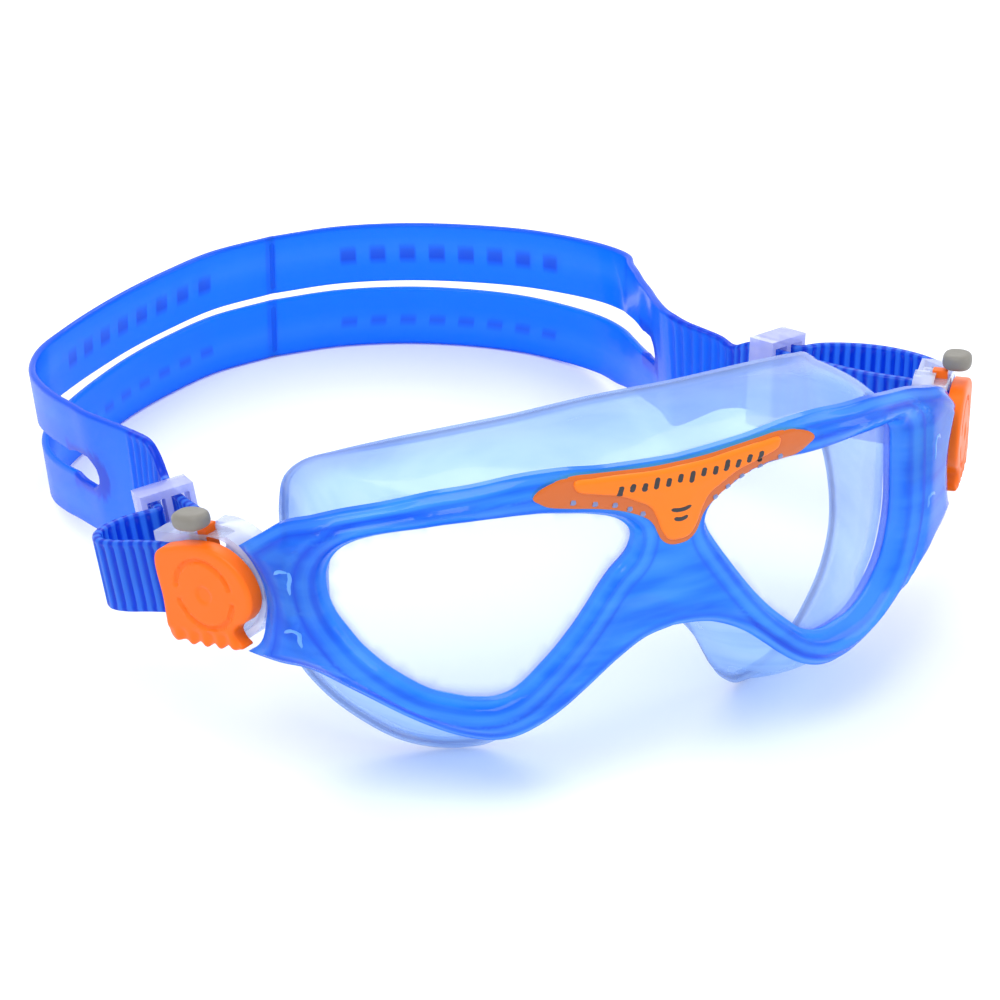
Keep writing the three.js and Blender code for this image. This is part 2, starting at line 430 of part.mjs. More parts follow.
// ratchet pawl: toothed slider that locks the strap against the roller
{
  const p = [[-3.2, -5.4], [2.2, -5.4], [2.9, -5.0], [2.9, -4.6], [3.5, -4.2], [2.9, -3.8], [2.9, -3.1], [3.5, -2.7], [2.9, -2.3], [2.9, -1.6], [3.5, -1.2], [2.9, -0.8], [2.9, 0.8], [0.2, 3.4], [-3.2, 3.4]];
  const bore = new THREE.CylinderGeometry(1.25, 1.25, 4.8, 16); bore.rotateZ(Math.PI / 2); bore.translate(-1.1, 4.9, -2.2);
  B.pawl = toGeometry(toSolid(prismY(p, 3.3, 6.5)).subtract(toSolid(bore)));
  // small compression spring between the housing and the pawl
  const turns = 4.5, len = 7.2, pts = [];
  for (let i = 0; i <= 54; i++) { const t = i / 54, a = t * turns * Math.PI * 2; pts.push(new THREE.Vector3(-8.75 + len * t, 4.9 + 0.86 * Math.cos(a), -2.2 + 0.86 * Math.sin(a))); }
  const c = new THREE.CatmullRomCurve3(pts);
  const sec = []; for (let i = 0; i < 6; i++) { const a = i / 6 * Math.PI * 2; sec.push([0.17 * Math.cos(a), 0.17 * Math.sin(a)]); }
  B.spring = new THREE.ExtrudeGeometry(shapeOf(sec), { steps: 54, extrudePath: c, bevelEnabled: false });
}

// roller on its axle
{
  B.roller = toGeometry(toSolid(cylZ(ROLLER_R, -6.85, 6.85, ROLLER[0], ROLLER[1], 20)).subtract(toSolid(cylZ(0.9, -20, 20, ROLLER[0], ROLLER[1], 16))));
  B.axle = cylZ(0.6, -9.0, 9.0, ROLLER[0], ROLLER[1], 14);
}

// swivel rivet through the temple lug, turned from an axis profile; its axis is the buckle's Y
{
  const prof = [[0, 6.75], [2.6, 6.75], [2.6, 7.05], [1.6, 7.05], [1.6, 11.0], [2.5, 11.0], [2.5, 11.7], [0, 11.7]];
  B.rivet = new THREE.LatheGeometry(prof.map(V2), 20);
}

// clear temple lug: a foot set in the frame's end and a round ear inside the buckle, with the hole for the rivet
{
  const side = [];
  for (let i = 0; i <= 16; i++) { const a = deg(-90 + 180 * i / 16); side.push([5.4 * Math.cos(a), 5.4 * Math.sin(a)]); }
  side.push([-16.2, 5.8], [-16.2, -5.8]);
  const plan = [[-16, 5.35], [-11.3, 5.35], [-11.3, 9.3], [7, 9.3], [7, 10.5], [-12.2, 10.5], [-16, 6.6]];
  const solid = toSolid(prismZ(plan, -6, 6)).intersect(toSolid(prismY(side, 0, 20)));
  B.lug = toGeometry(solid.subtract(toSolid(cylY(1.9, 5, 14, 24))));
}

// ribbed tail of the strap: from the yoke, through the keeper, round the roller, out in a loop and back into the keeper
const r = ROLLER_R + 0.3 + STRAP_T / 2;
const wrap = (from) => Array.from({ length: 9 }, (_, i) => { const a = deg(from + (270 - from) * i / 8); return [ROLLER[0] + r * Math.cos(a), ROLLER[1] + r * Math.sin(a)]; });
for (const side of [1, -1]) {
  const k = keeperAxes(side);
  const run = side > 0
    ? [[12.6, 27.6], [9.4, 20.4], [7.9, 14.2], [7.3, 10.6], ...wrap(145), [10, 3.15], [14.2, 3.4], [18.2, 5.4], [21.6, 8.8], [24.2, 13.2], [25.7, 18.4], [25.4, 24.0], [23.8, 28.8], k(-3, 2.3)]
    : [[16.4, 17.1], [10.6, 12.0], ...wrap(132), [10, 3.15], [13.5, 3.05], [18, 2.3], [22.4, 1.3], [26, 1.6], [28.8, 4.2], [29.3, 7.8], [28.2, 11.3], [26.2, 14.0], [25.0, 15.8], k(-3.0, 2.3)];
  const line = smooth([k(7.2, -2.3), k(2, -2.3), k(-4, -2.3), ...run, k(1.5, 2.3), k(6.0, 2.3)], 96, false);
  B.tail[side] = prismZ(ribbon(line, STRAP_T), -STRAP_W / 2, STRAP_W / 2);

  // clear keeper: a double loop with a centre post
  const slot = (n0, n1) => prismZ([k(-6, n0), k(6, n0), k(6, n1), k(-6, n1)], -7.2, 7.2);
  B.keeper[side] = toGeometry(toSolid(prismZ([k(-2.75, -5), k(2.75, -5), k(2.75, 5), k(-2.75, 5)], -8.6, 8.6)).subtract(toSolid(slot(-4.0, -0.6))).subtract(toSolid(slot(0.6, 4.0))));
}

for (const [side, word] of [[1, 'left'], [-1, 'right']]) {
  const g = buckleGroup(side);
  mask.add(g);
  const add = (name, geometry, material) => put(g, `${word}_${name}`, side > 0 ? geometry : mirrored(geometry, 1), material);
  add('temple_lug', B.lug, M.clear);
  add('swivel_rivet', B.rivet, M.steel);
  add('buckle_housing', B.housing, M.clear);
  add('buckle_cover', B.cover, M.orange);
  add('release_button', B.button, M.grey);
  add('button_stem', B.stem, M.orange);
  add('ratchet_pawl', B.pawl, M.nylon);
  add('pawl_spring', B.spring, M.steel);
  add('strap_roller', B.roller, M.nylon);
  add('roller_axle', B.axle, M.steel);
  add('strap_tail', B.tail[side], M.strap);
  add('strap_keeper', B.keeper[side], M.clear);
}

export default root;
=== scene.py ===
import math
import bpy
import numpy as np
from mathutils import Matrix, Vector
from mathutils.geometry import delaunay_2d_cdt


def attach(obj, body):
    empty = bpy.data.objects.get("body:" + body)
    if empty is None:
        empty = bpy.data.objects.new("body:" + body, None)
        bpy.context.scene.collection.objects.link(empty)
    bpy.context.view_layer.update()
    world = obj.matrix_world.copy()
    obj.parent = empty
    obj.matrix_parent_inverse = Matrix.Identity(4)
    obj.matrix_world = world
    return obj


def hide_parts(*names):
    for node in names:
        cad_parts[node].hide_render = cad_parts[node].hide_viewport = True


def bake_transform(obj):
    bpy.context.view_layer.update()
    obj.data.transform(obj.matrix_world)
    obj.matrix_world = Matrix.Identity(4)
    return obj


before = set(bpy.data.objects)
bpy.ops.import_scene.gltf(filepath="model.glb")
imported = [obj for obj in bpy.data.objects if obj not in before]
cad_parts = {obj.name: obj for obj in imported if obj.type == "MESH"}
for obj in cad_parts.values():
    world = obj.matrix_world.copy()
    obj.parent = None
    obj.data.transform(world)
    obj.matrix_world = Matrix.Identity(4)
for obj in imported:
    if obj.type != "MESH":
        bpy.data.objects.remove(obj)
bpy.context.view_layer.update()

MID_Y, REST_Z = 92.32, 47.5
rng = np.random.default_rng(11)


def row(P):
    P = np.asarray(P, float)
    return (P + np.array([0, -MID_Y, REST_Z])) / 1000.0


def sstep(x, a, b):
    t = np.clip((np.asarray(x, float) - a) / (b - a), 0, 1)
    return t * t * (3 - 2 * t)


# ------------------------------------------------------------------ curves
def spline(pts, n, closed=False, sub=20, even=True):
    P = np.array(pts, float)
    m = len(P)
    out = []
    segs = m if closed else m - 1
    ext = None if closed else np.vstack([2 * P[0] - P[1], P, 2 * P[-1] - P[-2]])
    for i in range(segs):
        if closed:
            p = [P[(i - 1) % m], P[i], P[(i + 1) % m], P[(i + 2) % m]]
        else:
            p = [ext[i], ext[i + 1], ext[i + 2], ext[i + 3]]
        t = [0.0]
        for k in range(3):
            t.append(t[-1] + max(np.linalg.norm(p[k + 1] - p[k]) ** 0.5, 1e-5))
        u = np.linspace(t[1], t[2], sub, endpoint=False)[:, None]
        A = [((t[k + 1] - u) * p[k] + (u - t[k]) * p[k + 1]) / (t[k + 1] - t[k]) for k in range(3)]
        B = [((t[k + 2] - u) * A[k] + (u - t[k]) * A[k + 1]) / (t[k + 2] - t[k]) for k in range(2)]
        out.append(((t[2] - u) * B[0] + (u - t[1]) * B[1]) / (t[2] - t[1]))
    if not closed:
        out.append(P[-1:])
    Q = np.vstack(out)
    Q2 = np.vstack([Q, Q[:1]]) if closed else Q
    if not even:
        return Q
    s = np.r_[0, np.cumsum(np.linalg.norm(np.diff(Q2, axis=0), axis=1))]
    u = np.linspace(0, s[-1], n, endpoint=not closed)
    return np.stack([np.interp(u, s, Q2[:, k]) for k in range(Q2.shape[1])], 1)


def inside(poly, P):
    x, y = P[:, 0], P[:, 1]
    r = np.zeros(len(P), bool)
    a, b = poly, np.roll(poly, -1, 0)
    for i in range(len(poly)):
        c = (a[i, 1] > y) != (b[i, 1] > y)
        if c.any():
            xi = (b[i, 0] - a[i, 0]) * (y - a[i, 1]) / (b[i, 1] - a[i, 1] + 1e-12) + a[i, 0]
            r ^= c & (x < xi)
    return r


def dist_line(P, line, closed=True):
    A = np.asarray(line, float)
    B = np.roll(A, -1, 0) if closed else A[1:]
    A = A if closed else A[:-1]
    best = np.full(len(P), 1e9)
    for k in range(0, len(P), 2000):
        p = P[k:k + 2000, None, :]
        d = B - A
        t = np.clip(((p - A) * d).sum(2) / np.maximum((d * d).sum(1), 1e-9), 0, 1)
        q = A + t[..., None] * d
        best[k:k + 2000] = np.sqrt(((p - q) ** 2).sum(2)).min(1)
    return best


def offset_in(poly, d):
    P = np.asarray(poly, float)
    a = np.roll(P, 1, 0)
    b = np.roll(P, -1, 0)
    t = b - a
    t /= np.maximum(np.linalg.norm(t, axis=1), 1e-9)[:, None]
    n = np.stack([-t[:, 1], t[:, 0]], 1)
    area = (P[:, 0] * b[:, 1] - b[:, 0] * P[:, 1]).sum()
    return P + n * d * (1 if area > 0 else -1)


# Flat mesh of the region between an outline and its holes.
def region(outer, holes, step, rings=(), more=()):
    pts, edges = [], []
    for loop in [outer] + list(holes):
        n0 = len(pts)
        pts += [tuple(p) for p in loop]
        edges += [(n0 + i, n0 + (i + 1) % len(loop)) for i in range(len(loop))]
    for line in more:
        n0 = len(pts)
        pts += [tuple(p) for p in line]
        edges += [(n0 + i, n0 + (i + 1) % len(line)) for i in range(len(line))]
    near = 0.45 * step
    taken = np.array(pts)
    for d in rings:
        for j, loop in enumerate([outer] + list(holes)):
            q = offset_in(loop, d if j == 0 else -d)
            ok = inside(np.array(outer), q)
            for h in holes:
                ok &= ~inside(np.array(h), q)
            q = q[ok]
            if len(q):
                dd = np.minimum.reduce([dist_line(q, l) for l in [outer] + list(holes)])
                q = q[dd > d * 0.9]
            if len(q) and more:
                q = q[np.minimum.reduce([dist_line(q, l) for l in more]) > 0.12]
            pts += [tuple(p) for p in q]
    O = np.array(outer)
    x0, z0 = O.min(0)
    x1, z1 = O.max(0)
    gx, gz = np.meshgrid(np.arange(x0, x1, step), np.arange(z0, z1, step * 0.866))
    gx = gx + (np.arange(gx.shape[0])[:, None] % 2) * step / 2
    G = np.stack([gx.ravel(), gz.ravel()], 1)
    ok = inside(O, G)
    for h in holes:
        ok &= ~inside(np.array(h), G)
    G = G[ok]
    dd = np.minimum.reduce([dist_line(G, l) for l in [outer] + list(holes) + list(more)])
    G = G[dd > max(near, (max(rings) if rings else 0) + 0.3 * step) if not more else dd > near]
    pts += [tuple(p) for p in G]
    res = delaunay_2d_cdt([Vector(p) for p in pts], edges, [], 0, 1e-5)
    V = np.array([tuple(v) for v in res[0]])
    F = np.array([f for f in res[2] if len(f) == 3])
    C = V[F].mean(1)
    ok = inside(O, C)
    for h in holes:
        ok &= ~inside(np.array(h), C)
    F = F[ok]
    a = V[F]
    ar = (a[:, 1, 0] - a[:, 0, 0]) * (a[:, 2, 1] - a[:, 0, 1]) - (a[:, 2, 0] - a[:, 0, 0]) * (a[:, 1, 1] - a[:, 0, 1])
    F = F[np.abs(ar) > 1e-7]
    ar = ar[np.abs(ar) > 1e-7]
    F[ar < 0] = F[ar < 0][:, ::-1]
    return V, F


def rim_edges(F):
    e = np.concatenate([F[:, [0, 1]], F[:, [1, 2]], F[:, [2, 0]]])
    key = {(a, b) for a, b in e.tolist()}
    return [(a, b) for a, b in key if (b, a) not in key]


# ------------------------------------------------------------------ objects
def smooth_faces(me, angle):
    me.polygons.foreach_set("use_smooth", [True] * len(me.polygons))
    if angle:
        me.set_sharp_from_angle(angle=math.radians(angle))


def obj_from(name, V, F, mat, angle=38, weld=0.0, attrs=None, in_row=False):
    me = bpy.data.meshes.new(name)
    W = np.asarray(V, float) if in_row else row(V)
    me.from_pydata(W.tolist(), [], [tuple(int(i) for i in f) for f in F])
    if attrs:
        for k, v in attrs.items():
            a = me.attributes.new(k, "FLOAT", "POINT")
            a.data.foreach_set("value", np.asarray(v, np.float32))
    if weld:
        import bmesh
        bm = bmesh.new()
        bm.from_mesh(me)
        bmesh.ops.remove_doubles(bm, verts=bm.verts, dist=weld)
        bmesh.ops.recalc_face_normals(bm, faces=bm.faces)
        bm.to_mesh(me)
        bm.free()
    me.validate()
    smooth_faces(me, angle)
    o = bpy.data.objects.new(name, me)
    bpy.context.scene.collection.objects.link(o)
    me.materials.append(mat)
    return o


# Solid from a flat region: front and back points given for every 2-D vertex.
def solid(name, F, front, back, mat, attrs=None, **kw):
    n = len(front)
    V = np.vstack([front, back])
    faces = [tuple(f) for f in F] + [tuple(x + n for x in f[::-1]) for f in F]
    for a, b in rim_edges(F):
        faces.append((b, a, a + n, b + n))
    at = {k: np.r_[v, v] for k, v in (attrs or {}).items()}
    return obj_from(name, V, faces, mat, attrs=at, weld=1e-7, **kw)


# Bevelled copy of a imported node, for the small hard pieces.
def refined(node, mat, width=0.25, angle=30, seg=3):
    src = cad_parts[node]
    o = src.copy()
    o.data = src.data.copy()
    o.name = node + "_fine"
    o.parent = None
    o.matrix_world = src.matrix_world.copy()
    bpy.context.scene.collection.objects.link(o)
    import bmesh
    bm = bmesh.new()
    bm.from_mesh(o.data)
    bmesh.ops.remove_doubles(bm, verts=bm.verts, dist=2e-6)
    bmesh.ops.dissolve_limit(bm, angle_limit=math.radians(3), verts=bm.verts, edges=bm.edges)
    bm.to_mesh(o.data)
    bm.free()
    o.data.materials.clear()
    o.data.materials.append(mat)
    b = o.modifiers.new("edge", "BEVEL")
    b.width = width / 1000
    b.segments = seg
    b.limit_method = "ANGLE"
    b.angle_limit = math.radians(angle)
    b.harden_normals = False
    dg = bpy.context.evaluated_depsgraph_get()
    me = bpy.data.meshes.new_from_object(o.evaluated_get(dg))
    o.modifiers.clear()
    o.data = me
    for k in list(o.keys()):
        del o[k]
    smooth_faces(me, 45)
    return o


# ------------------------------------------------------------------ materials
class Nodes:
    def __init__(self, name):
        self.m = bpy.data.materials.new(name)
        self.m.use_nodes = True
        self.t = self.m.node_tree
        self.t.nodes.clear()
        self.out = self.t.nodes.new("ShaderNodeOutputMaterial")

    def add(self, kind, **inputs):
        n = self.t.nodes.new(kind)
        for k, v in inputs.items():
            if k.startswith("_"):
                setattr(n, k[1:], v)
            else:
                self.set(n, k.replace("__", " "), v)
        return n

    def set(self, n, key, v):
        s = n.inputs[int(key[1:])] if key[0] == "i" and key[1:].isdigit() else n.inputs[key]
        if isinstance(v, bpy.types.NodeSocket):
            self.t.links.new(v, s)
        elif isinstance(v, (tuple, list)) and len(v) == 3 and s.type == "RGBA":
            s.default_value = (*v, 1)
        else:
            s.default_value = v

    def math(self, op, a, b=0.0, clamp=False):
        n = self.t.nodes.new("ShaderNodeMath")
        n.operation = op
        n.use_clamp = clamp
        self.set(n, "i0", a)
        self.set(n, "i1", b)
        return n.outputs[0]

    def mix(self, f, a, b, blend="MIX"):
        n = self.t.nodes.new("ShaderNodeMix")
        n.data_type = "RGBA"
        n.blend_type = blend
        self.set(n, "i0", f)
        self.set(n, "i6", a)
        self.set(n, "i7", b)
        return n.outputs[2]

    def attr(self, name):
        n = self.t.nodes.new("ShaderNodeAttribute")
        n.attribute_name = name
        return n.outputs["Fac"]

    def coord(self):
        return self.t.nodes.new("ShaderNodeTexCoord").outputs["Object"]

    def noise(self, scale, detail=3.0, rough=0.5, vec=None):
        n = self.add("ShaderNodeTexNoise", Scale=scale, Detail=detail, Roughness=rough)
        self.t.links.new(vec or self.coord(), n.inputs["Vector"])
        return n.outputs["Fac"]

    def ramp(self, f, stops):
        n = self.t.nodes.new("ShaderNodeValToRGB")
        e = n.color_ramp.elements
        while len(e) < len(stops):
            e.new(0.5)
        for i, (p, c) in enumerate(stops):
            e[i].position = p
            e[i].color = (*c, 1)
        self.t.links.new(f, n.inputs["Fac"])
        return n.outputs["Color"]

    def bump(self, h, strength=0.2, dist=0.0002):
        n = self.add("ShaderNodeBump", Strength=strength, Distance=dist, Height=h)
        return n.outputs["Normal"]

    def facing(self, blend=0.4, normal=None):
        n = self.add("ShaderNodeLayerWeight", Blend=blend)
        if normal is not None:
            self.t.links.new(normal, n.inputs["Normal"])
        return n.outputs["Facing"]

    def end(self, shader):
        self.t.links.new(shader, self.out.inputs["Surface"])
        return self.m


def s2l(c):
    return tuple(((x / 255) / 12.92 if x / 255 <= 0.04045 else ((x / 255 + 0.055) / 1.055) ** 2.4) for x in c)


# Clear or tinted moulding: a lit body, a share of straight see-through, and a gloss coat.
def see_through(name, body, tint, share, rough=0.15, edge=None, edge_share=None, attr_mix=None, bump=0.08, coat=0.6, glow=0.0, noise=60.0, trans=0.0, painted_light_streak=None, gloss=0.5):
    k = Nodes(name)
    n1 = k.noise(noise, 3.0)
    n2 = k.noise(noise * 9, 2.0)
    bcol = k.mix(k.math("MULTIPLY", n1, 0.5), body, tuple(min(1.0, c * 1.25 + 0.02) for c in body))
    tcol = tint
    if painted_light_streak:
        # painted light: noise streaks, the first colour a painted highlight, the second painted shade
        mp = k.add("ShaderNodeMapping", Scale=(42.0, 34.0, 210.0), Rotation=(0.0, 0.5, 0.0))
        k.t.links.new(k.coord(), mp.inputs["Vector"])
        n3 = k.noise(1.0, 2.5, 0.55, mp.outputs[0])
        band = k.ramp(n3, [(0.34, (0, 0, 0)), (0.47, (0.35, 0.35, 0.35)), (0.56, (0.5, 0.5, 0.5)), (0.70, (1, 1, 1))])
        bcol = k.mix(k.math("MULTIPLY", band, 0.75), bcol, painted_light_streak[0])
        bcol = k.mix(k.math("MULTIPLY", k.math("SUBTRACT", 0.5, band, True), 1.1, True), bcol, painted_light_streak[1])
    f = k.facing(0.35)
    if edge:
        bcol = k.mix(k.math("MULTIPLY", k.math("POWER", f, 2.2), 0.75), bcol, edge)
    if attr_mix:
        for a, c, tc in attr_mix:
            bcol = k.mix(k.attr(a), bcol, c)
            if tc is not None:
                tcol = k.mix(k.attr(a), tcol, tc)
    nor = k.bump(n2, bump, 0.0001)
    r = k.math("ADD", k.math("MULTIPLY", n1, 0.12), rough - 0.05)
    p = k.add("ShaderNodeBsdfPrincipled", Base__Color=bcol, Roughness=r, Normal=nor)
    p.inputs["Coat Weight"].default_value = coat
    p.inputs["Coat Roughness"].default_value = 0.05
    p.inputs["IOR"].default_value = 1.46
    p.inputs["Specular IOR Level"].default_value = gloss
    # painted light: emission lets the part glow though it is no lamp
    if glow:
        k.set(p, "Emission Color", bcol)
        p.inputs["Emission Strength"].default_value = glow
    lit = p.outputs[0]
    if trans:
        tl = k.add("ShaderNodeBsdfTranslucent", Color=bcol)
        ms = k.add("ShaderNodeMixShader", Fac=trans)
        k.t.links.new(lit, ms.inputs[1])
        k.t.links.new(tl.outputs[0], ms.inputs[2])
        lit = ms.outputs[0]
    t = k.add("ShaderNodeBsdfTransparent", Color=tcol)
    fac = share
    if edge_share is not None:
        fac = k.math("ADD", share, k.math("MULTIPLY", k.math("POWER", f, 2.0), edge_share - share), True)
    if attr_mix and any(len(a[0]) for a in attr_mix):
        fac = k.math("MULTIPLY", fac, k.math("SUBTRACT", 1.0, k.math("MULTIPLY", k.attr("solidity"), 1.0), True), True)
    ms = k.add("ShaderNodeMixShader", Fac=fac)
    k.t.links.new(lit, ms.inputs[1])
    k.t.links.new(t.outputs[0], ms.inputs[2])
    return k.end(ms.outputs[0])


def plastic(name, col, rough=0.35, coat=0.2, bump=0.15, scale=900.0, var=0.08, metal=0.0, glow=0.0, gloss=0.5):
    k = Nodes(name)
    n1 = k.noise(45.0, 4.0)
    n2 = k.noise(scale, 2.0)
    dark = tuple(c * (1 - var) for c in col)
    lite = tuple(min(1, c * (1 + var) + 0.01) for c in col)
    c = k.mix(n1, dark, lite)
    worn = k.noise(160.0, 6.0, 0.7)
    r = k.math("ADD", k.math("MULTIPLY", worn, 0.18), rough - 0.09)
    p = k.add("ShaderNodeBsdfPrincipled", Base__Color=c, Roughness=r, Normal=k.bump(n2, bump, 0.00008), Metallic=metal)
    p.inputs["Coat Weight"].default_value = coat
    p.inputs["Coat Roughness"].default_value = 0.12
    p.inputs["Specular IOR Level"].default_value = gloss
    if glow:
        k.set(p, "Emission Color", c)
        p.inputs["Emission Strength"].default_value = glow
    return k.end(p.outputs[0])


M = {}
# frame colour: painted highlights in the pale attribute colour and the light streaks, painted shade in the dark
# attribute colour and the dark streaks
M["frame"] = see_through("frame_blue", s2l((8, 146, 236)), s2l((52, 172, 255)), 0.48, 0.12, edge=s2l((8, 100, 216)), edge_share=0.16,
                         attr_mix=[("lip", s2l((96, 190, 250)), None), ("deep", s2l((6, 86, 212)), None)], coat=0.6, glow=0.1, noise=28.0, trans=0.25,
                         painted_light_streak=(s2l((104, 198, 252)), s2l((4, 96, 218))), gloss=0.35)
M["under"] = see_through("badge_border", s2l((206, 96, 8)), s2l((255, 180, 120)), 0.06, 0.14, edge=s2l((120, 66, 46)), attr_mix=None, coat=0.6, glow=0.0, noise=90.0, gloss=0.3)
M["dots"] = see_through("border_dots", s2l((120, 138, 190)), s2l((220, 230, 255)), 0.2, 0.1, coat=0.8)
M["clip"] = see_through("clip_marks", s2l((96, 172, 250)), s2l((150, 205, 255)), 0.3, 0.1, coat=0.8)
# strap colour: the dark attribute colour is painted shade, the pale one a painted highlight; the mark colour is print
M["strap"] = see_through("strap_blue", s2l((10, 134, 240)), s2l((58, 172, 255)), 0.38, 0.24, edge=s2l((6, 74, 204)), edge_share=0.06,
                         attr_mix=[("deep", s2l((6, 66, 204)), s2l((36, 116, 240))), ("mark", s2l((6, 62, 190)), s2l((40, 104, 228))), ("pale", s2l((78, 160, 252)), s2l((140, 198, 255)))], coat=0.2, glow=0.08, noise=24.0, trans=0.3, gloss=0.25)
# skirt colour: the rim attribute colours the face-seal edge line; the second attribute colour is painted shade and the
# streak pair paints streaks of highlight and shade
M["skirt"] = see_through("skirt_clear", s2l((178, 212, 244)), s2l((226, 242, 255)), 0.64, 0.16, edge=s2l((116, 156, 222)), edge_share=0.40,
                         attr_mix=[("rim", s2l((38, 58, 132)), s2l((96, 122, 190))), ("deep", s2l((128, 152, 222)), s2l((186, 200, 242)))], coat=0.6, glow=0.08, noise=18.0, trans=0.3,
                         painted_light_streak=(s2l((206, 228, 252)), s2l((140, 178, 234))), gloss=0.35)
M["lens"] = see_through("lens_clear", s2l((228, 237, 250)), s2l((247, 250, 255)), 0.92, 0.03, edge=s2l((196, 208, 240)), edge_share=0.76,
                        attr_mix=[("rim", s2l((206, 214, 244)), s2l((228, 233, 252)))], coat=0.8, bump=0.01, glow=0.04)
M["clear"] = see_through("clear_plastic", s2l((214, 220, 236)), s2l((240, 243, 252)), 0.68, 0.08, edge=s2l((118, 130, 172)), edge_share=0.30, coat=1.0, glow=0.04, noise=80.0)
M["keeper"] = see_through("keeper_clear", s2l((190, 194, 232)), s2l((222, 226, 252)), 0.46, 0.12, edge=s2l((118, 130, 196)), edge_share=0.24, coat=0.9, glow=0.06, noise=80.0)
M["orange"] = plastic("orange_trim", s2l((248, 106, 0)), 0.42, 0.06, 0.1, 1400.0, 0.05, gloss=0.2)
M["badge"] = plastic("badge_orange", s2l((252, 124, 2)), 0.36, 0.1, 0.06, 1600.0, 0.04, gloss=0.25)
M["ink"] = plastic("printed_black", (0.012, 0.012, 0.014), 0.4, 0.1)
M["grey"] = plastic("button_grey", s2l((128, 124, 116)), 0.46, 0.05, 0.2, 1500.0, 0.12, gloss=0.3)
M["steel"] = plastic("bright_steel", (0.62, 0.63, 0.66), 0.28, 0.0, 0.1, 700.0, 0.1, metal=1.0)
M["nylon"] = plastic("white_nylon", s2l((214, 218, 226)), 0.42, 0.1)

# ------------------------------------------------------------------ the front's plan curve
FRONT = [[0, .8], [10, 1.0], [21, 1.8], [29, 3.3], [36, 5.9], [42.6, 9.2], [48.8, 13.2], [54.3, 16.9], [59.2, 20.0], [63.0, 23.2], [66.2, 27.4], [68.8, 32.0], [72.0, 38.0]]
FR = spline([[-p[0], p[1]] for p in FRONT[:0:-1]] + FRONT, 601)


def flex(x):
    return np.where(np.asarray(x) > 0, sstep(x, 55.5, 73), 0)


FR = np.stack([FR[:, 0] + 4.1 * flex(FR[:, 0]), FR[:, 1] - 0.8 * flex(FR[:, 0])], 1)
_t = np.gradient(FR, axis=0)
_t /= np.linalg.norm(_t, axis=1)[:, None]


def on_front(x, d):
    x = np.asarray(x, float)
    px = np.clip(x, FR[0, 0], FR[-1, 0])
    y = np.interp(px, FR[:, 0], FR[:, 1])
    tx = np.interp(px, FR[:, 0], _t[:, 0])
    ty = np.interp(px, FR[:, 0], _t[:, 1])
    e = x - px
    return px + e - ty * d, y + e * ty / tx + tx * d


def on(P2, d):
    x, y = on_front(P2[:, 0], d)
    return np.stack([x, y, P2[:, 1]], 1)


BUCKLE = {1: dict(at=(75.25, 34.7, -11.2), yaw=53, tilt=9, keeper=(20.2, 36.7), turn=60), -1: dict(at=(71.3, 35.6, -10.4), yaw=62, tilt=13, keeper=(27.5, 20.5), turn=30)}


# Points in buckle axes (rearward, inward, up) brought into the mask's axes.
def buckle(side, P):
    q = BUCKLE[side]
    y, t = math.radians(q["yaw"]), math.radians(q["tilt"])
    a = np.array([math.cos(y) * math.cos(t), math.sin(y) * math.cos(t), -math.sin(t)])
    i = np.array([-math.sin(y), math.cos(y), 0])
    b = np.array([math.cos(y) * math.sin(t), math.sin(y) * math.sin(t), math.cos(t)])
    P = np.asarray(P, float)
    out = np.array(q["at"]) + P[:, :1] * a + P[:, 1:2] * i + P[:, 2:3] * b
    out[:, 0] *= side
    return out


# ------------------------------------------------------------------ front frame
WIN = {1: [[6.3, 1.9], [6.7, 4.1], [8.1, 5.8], [10.6, 7.4], [13.6, 8.8], [16.7, 9.5], [20.4, 9.7], [25.9, 9.2], [31.5, 8.8], [37.9, 8.0], [45.0, 6.4], [49.6, 4.9], [51.7, 3.0], [52.3, -1.5], [52.7, -7.8], [52.9, -13.6], [52.0, -19.2], [50.6, -22.4], [47.9, -25.1], [44.4, -27.0], [40.5, -28.0], [36.3, -28.1], [33.6, -28.0], [31.0, -27.5], [28.6, -26.5], [26.8, -25.3], [24.1, -22.9], [20.3, -19.2], [17.1, -15.5], [14.2, -11.6], [11.2, -7.2], [8.4, -2.9], [6.9, -0.2]],
       -1: [[7.9, 2.6], [9.4, 4.8], [11.6, 6.2], [16.0, 7.6], [20.4, 8.4], [24.6, 9.0], [28.8, 9.1], [32.7, 8.8], [36.5, 8.3], [40.2, 7.7], [43.8, 6.8], [47.2, 5.9], [50.6, 4.8], [53.6, 3.3], [55.8, 1.2], [57.2, -2.2], [57.1, -6.4], [55.9, -10.4], [54.2, -13.5], [52.6, -16.1], [50.9, -18.1], [49.2, -19.8], [47.5, -21.2], [45.8, -22.4], [44.0, -23.5], [42.2, -24.3], [40.3, -24.8], [38.5, -25.2], [36.6, -25.6], [34.7, -25.7], [32.8, -25.7], [30.8, -25.2], [28.7, -24.2], [26.6, -22.5], [24.5, -20.4], [22.3, -18.2], [20.2, -15.8], [18.0, -13.1], [15.8, -10.0], [13.7, -6.8], [11.5, -4.0], [9.3, -1.9], [8.4, -0.5]]}
WINDOW = {q: spline(WIN[q], 180, True) for q in WIN}


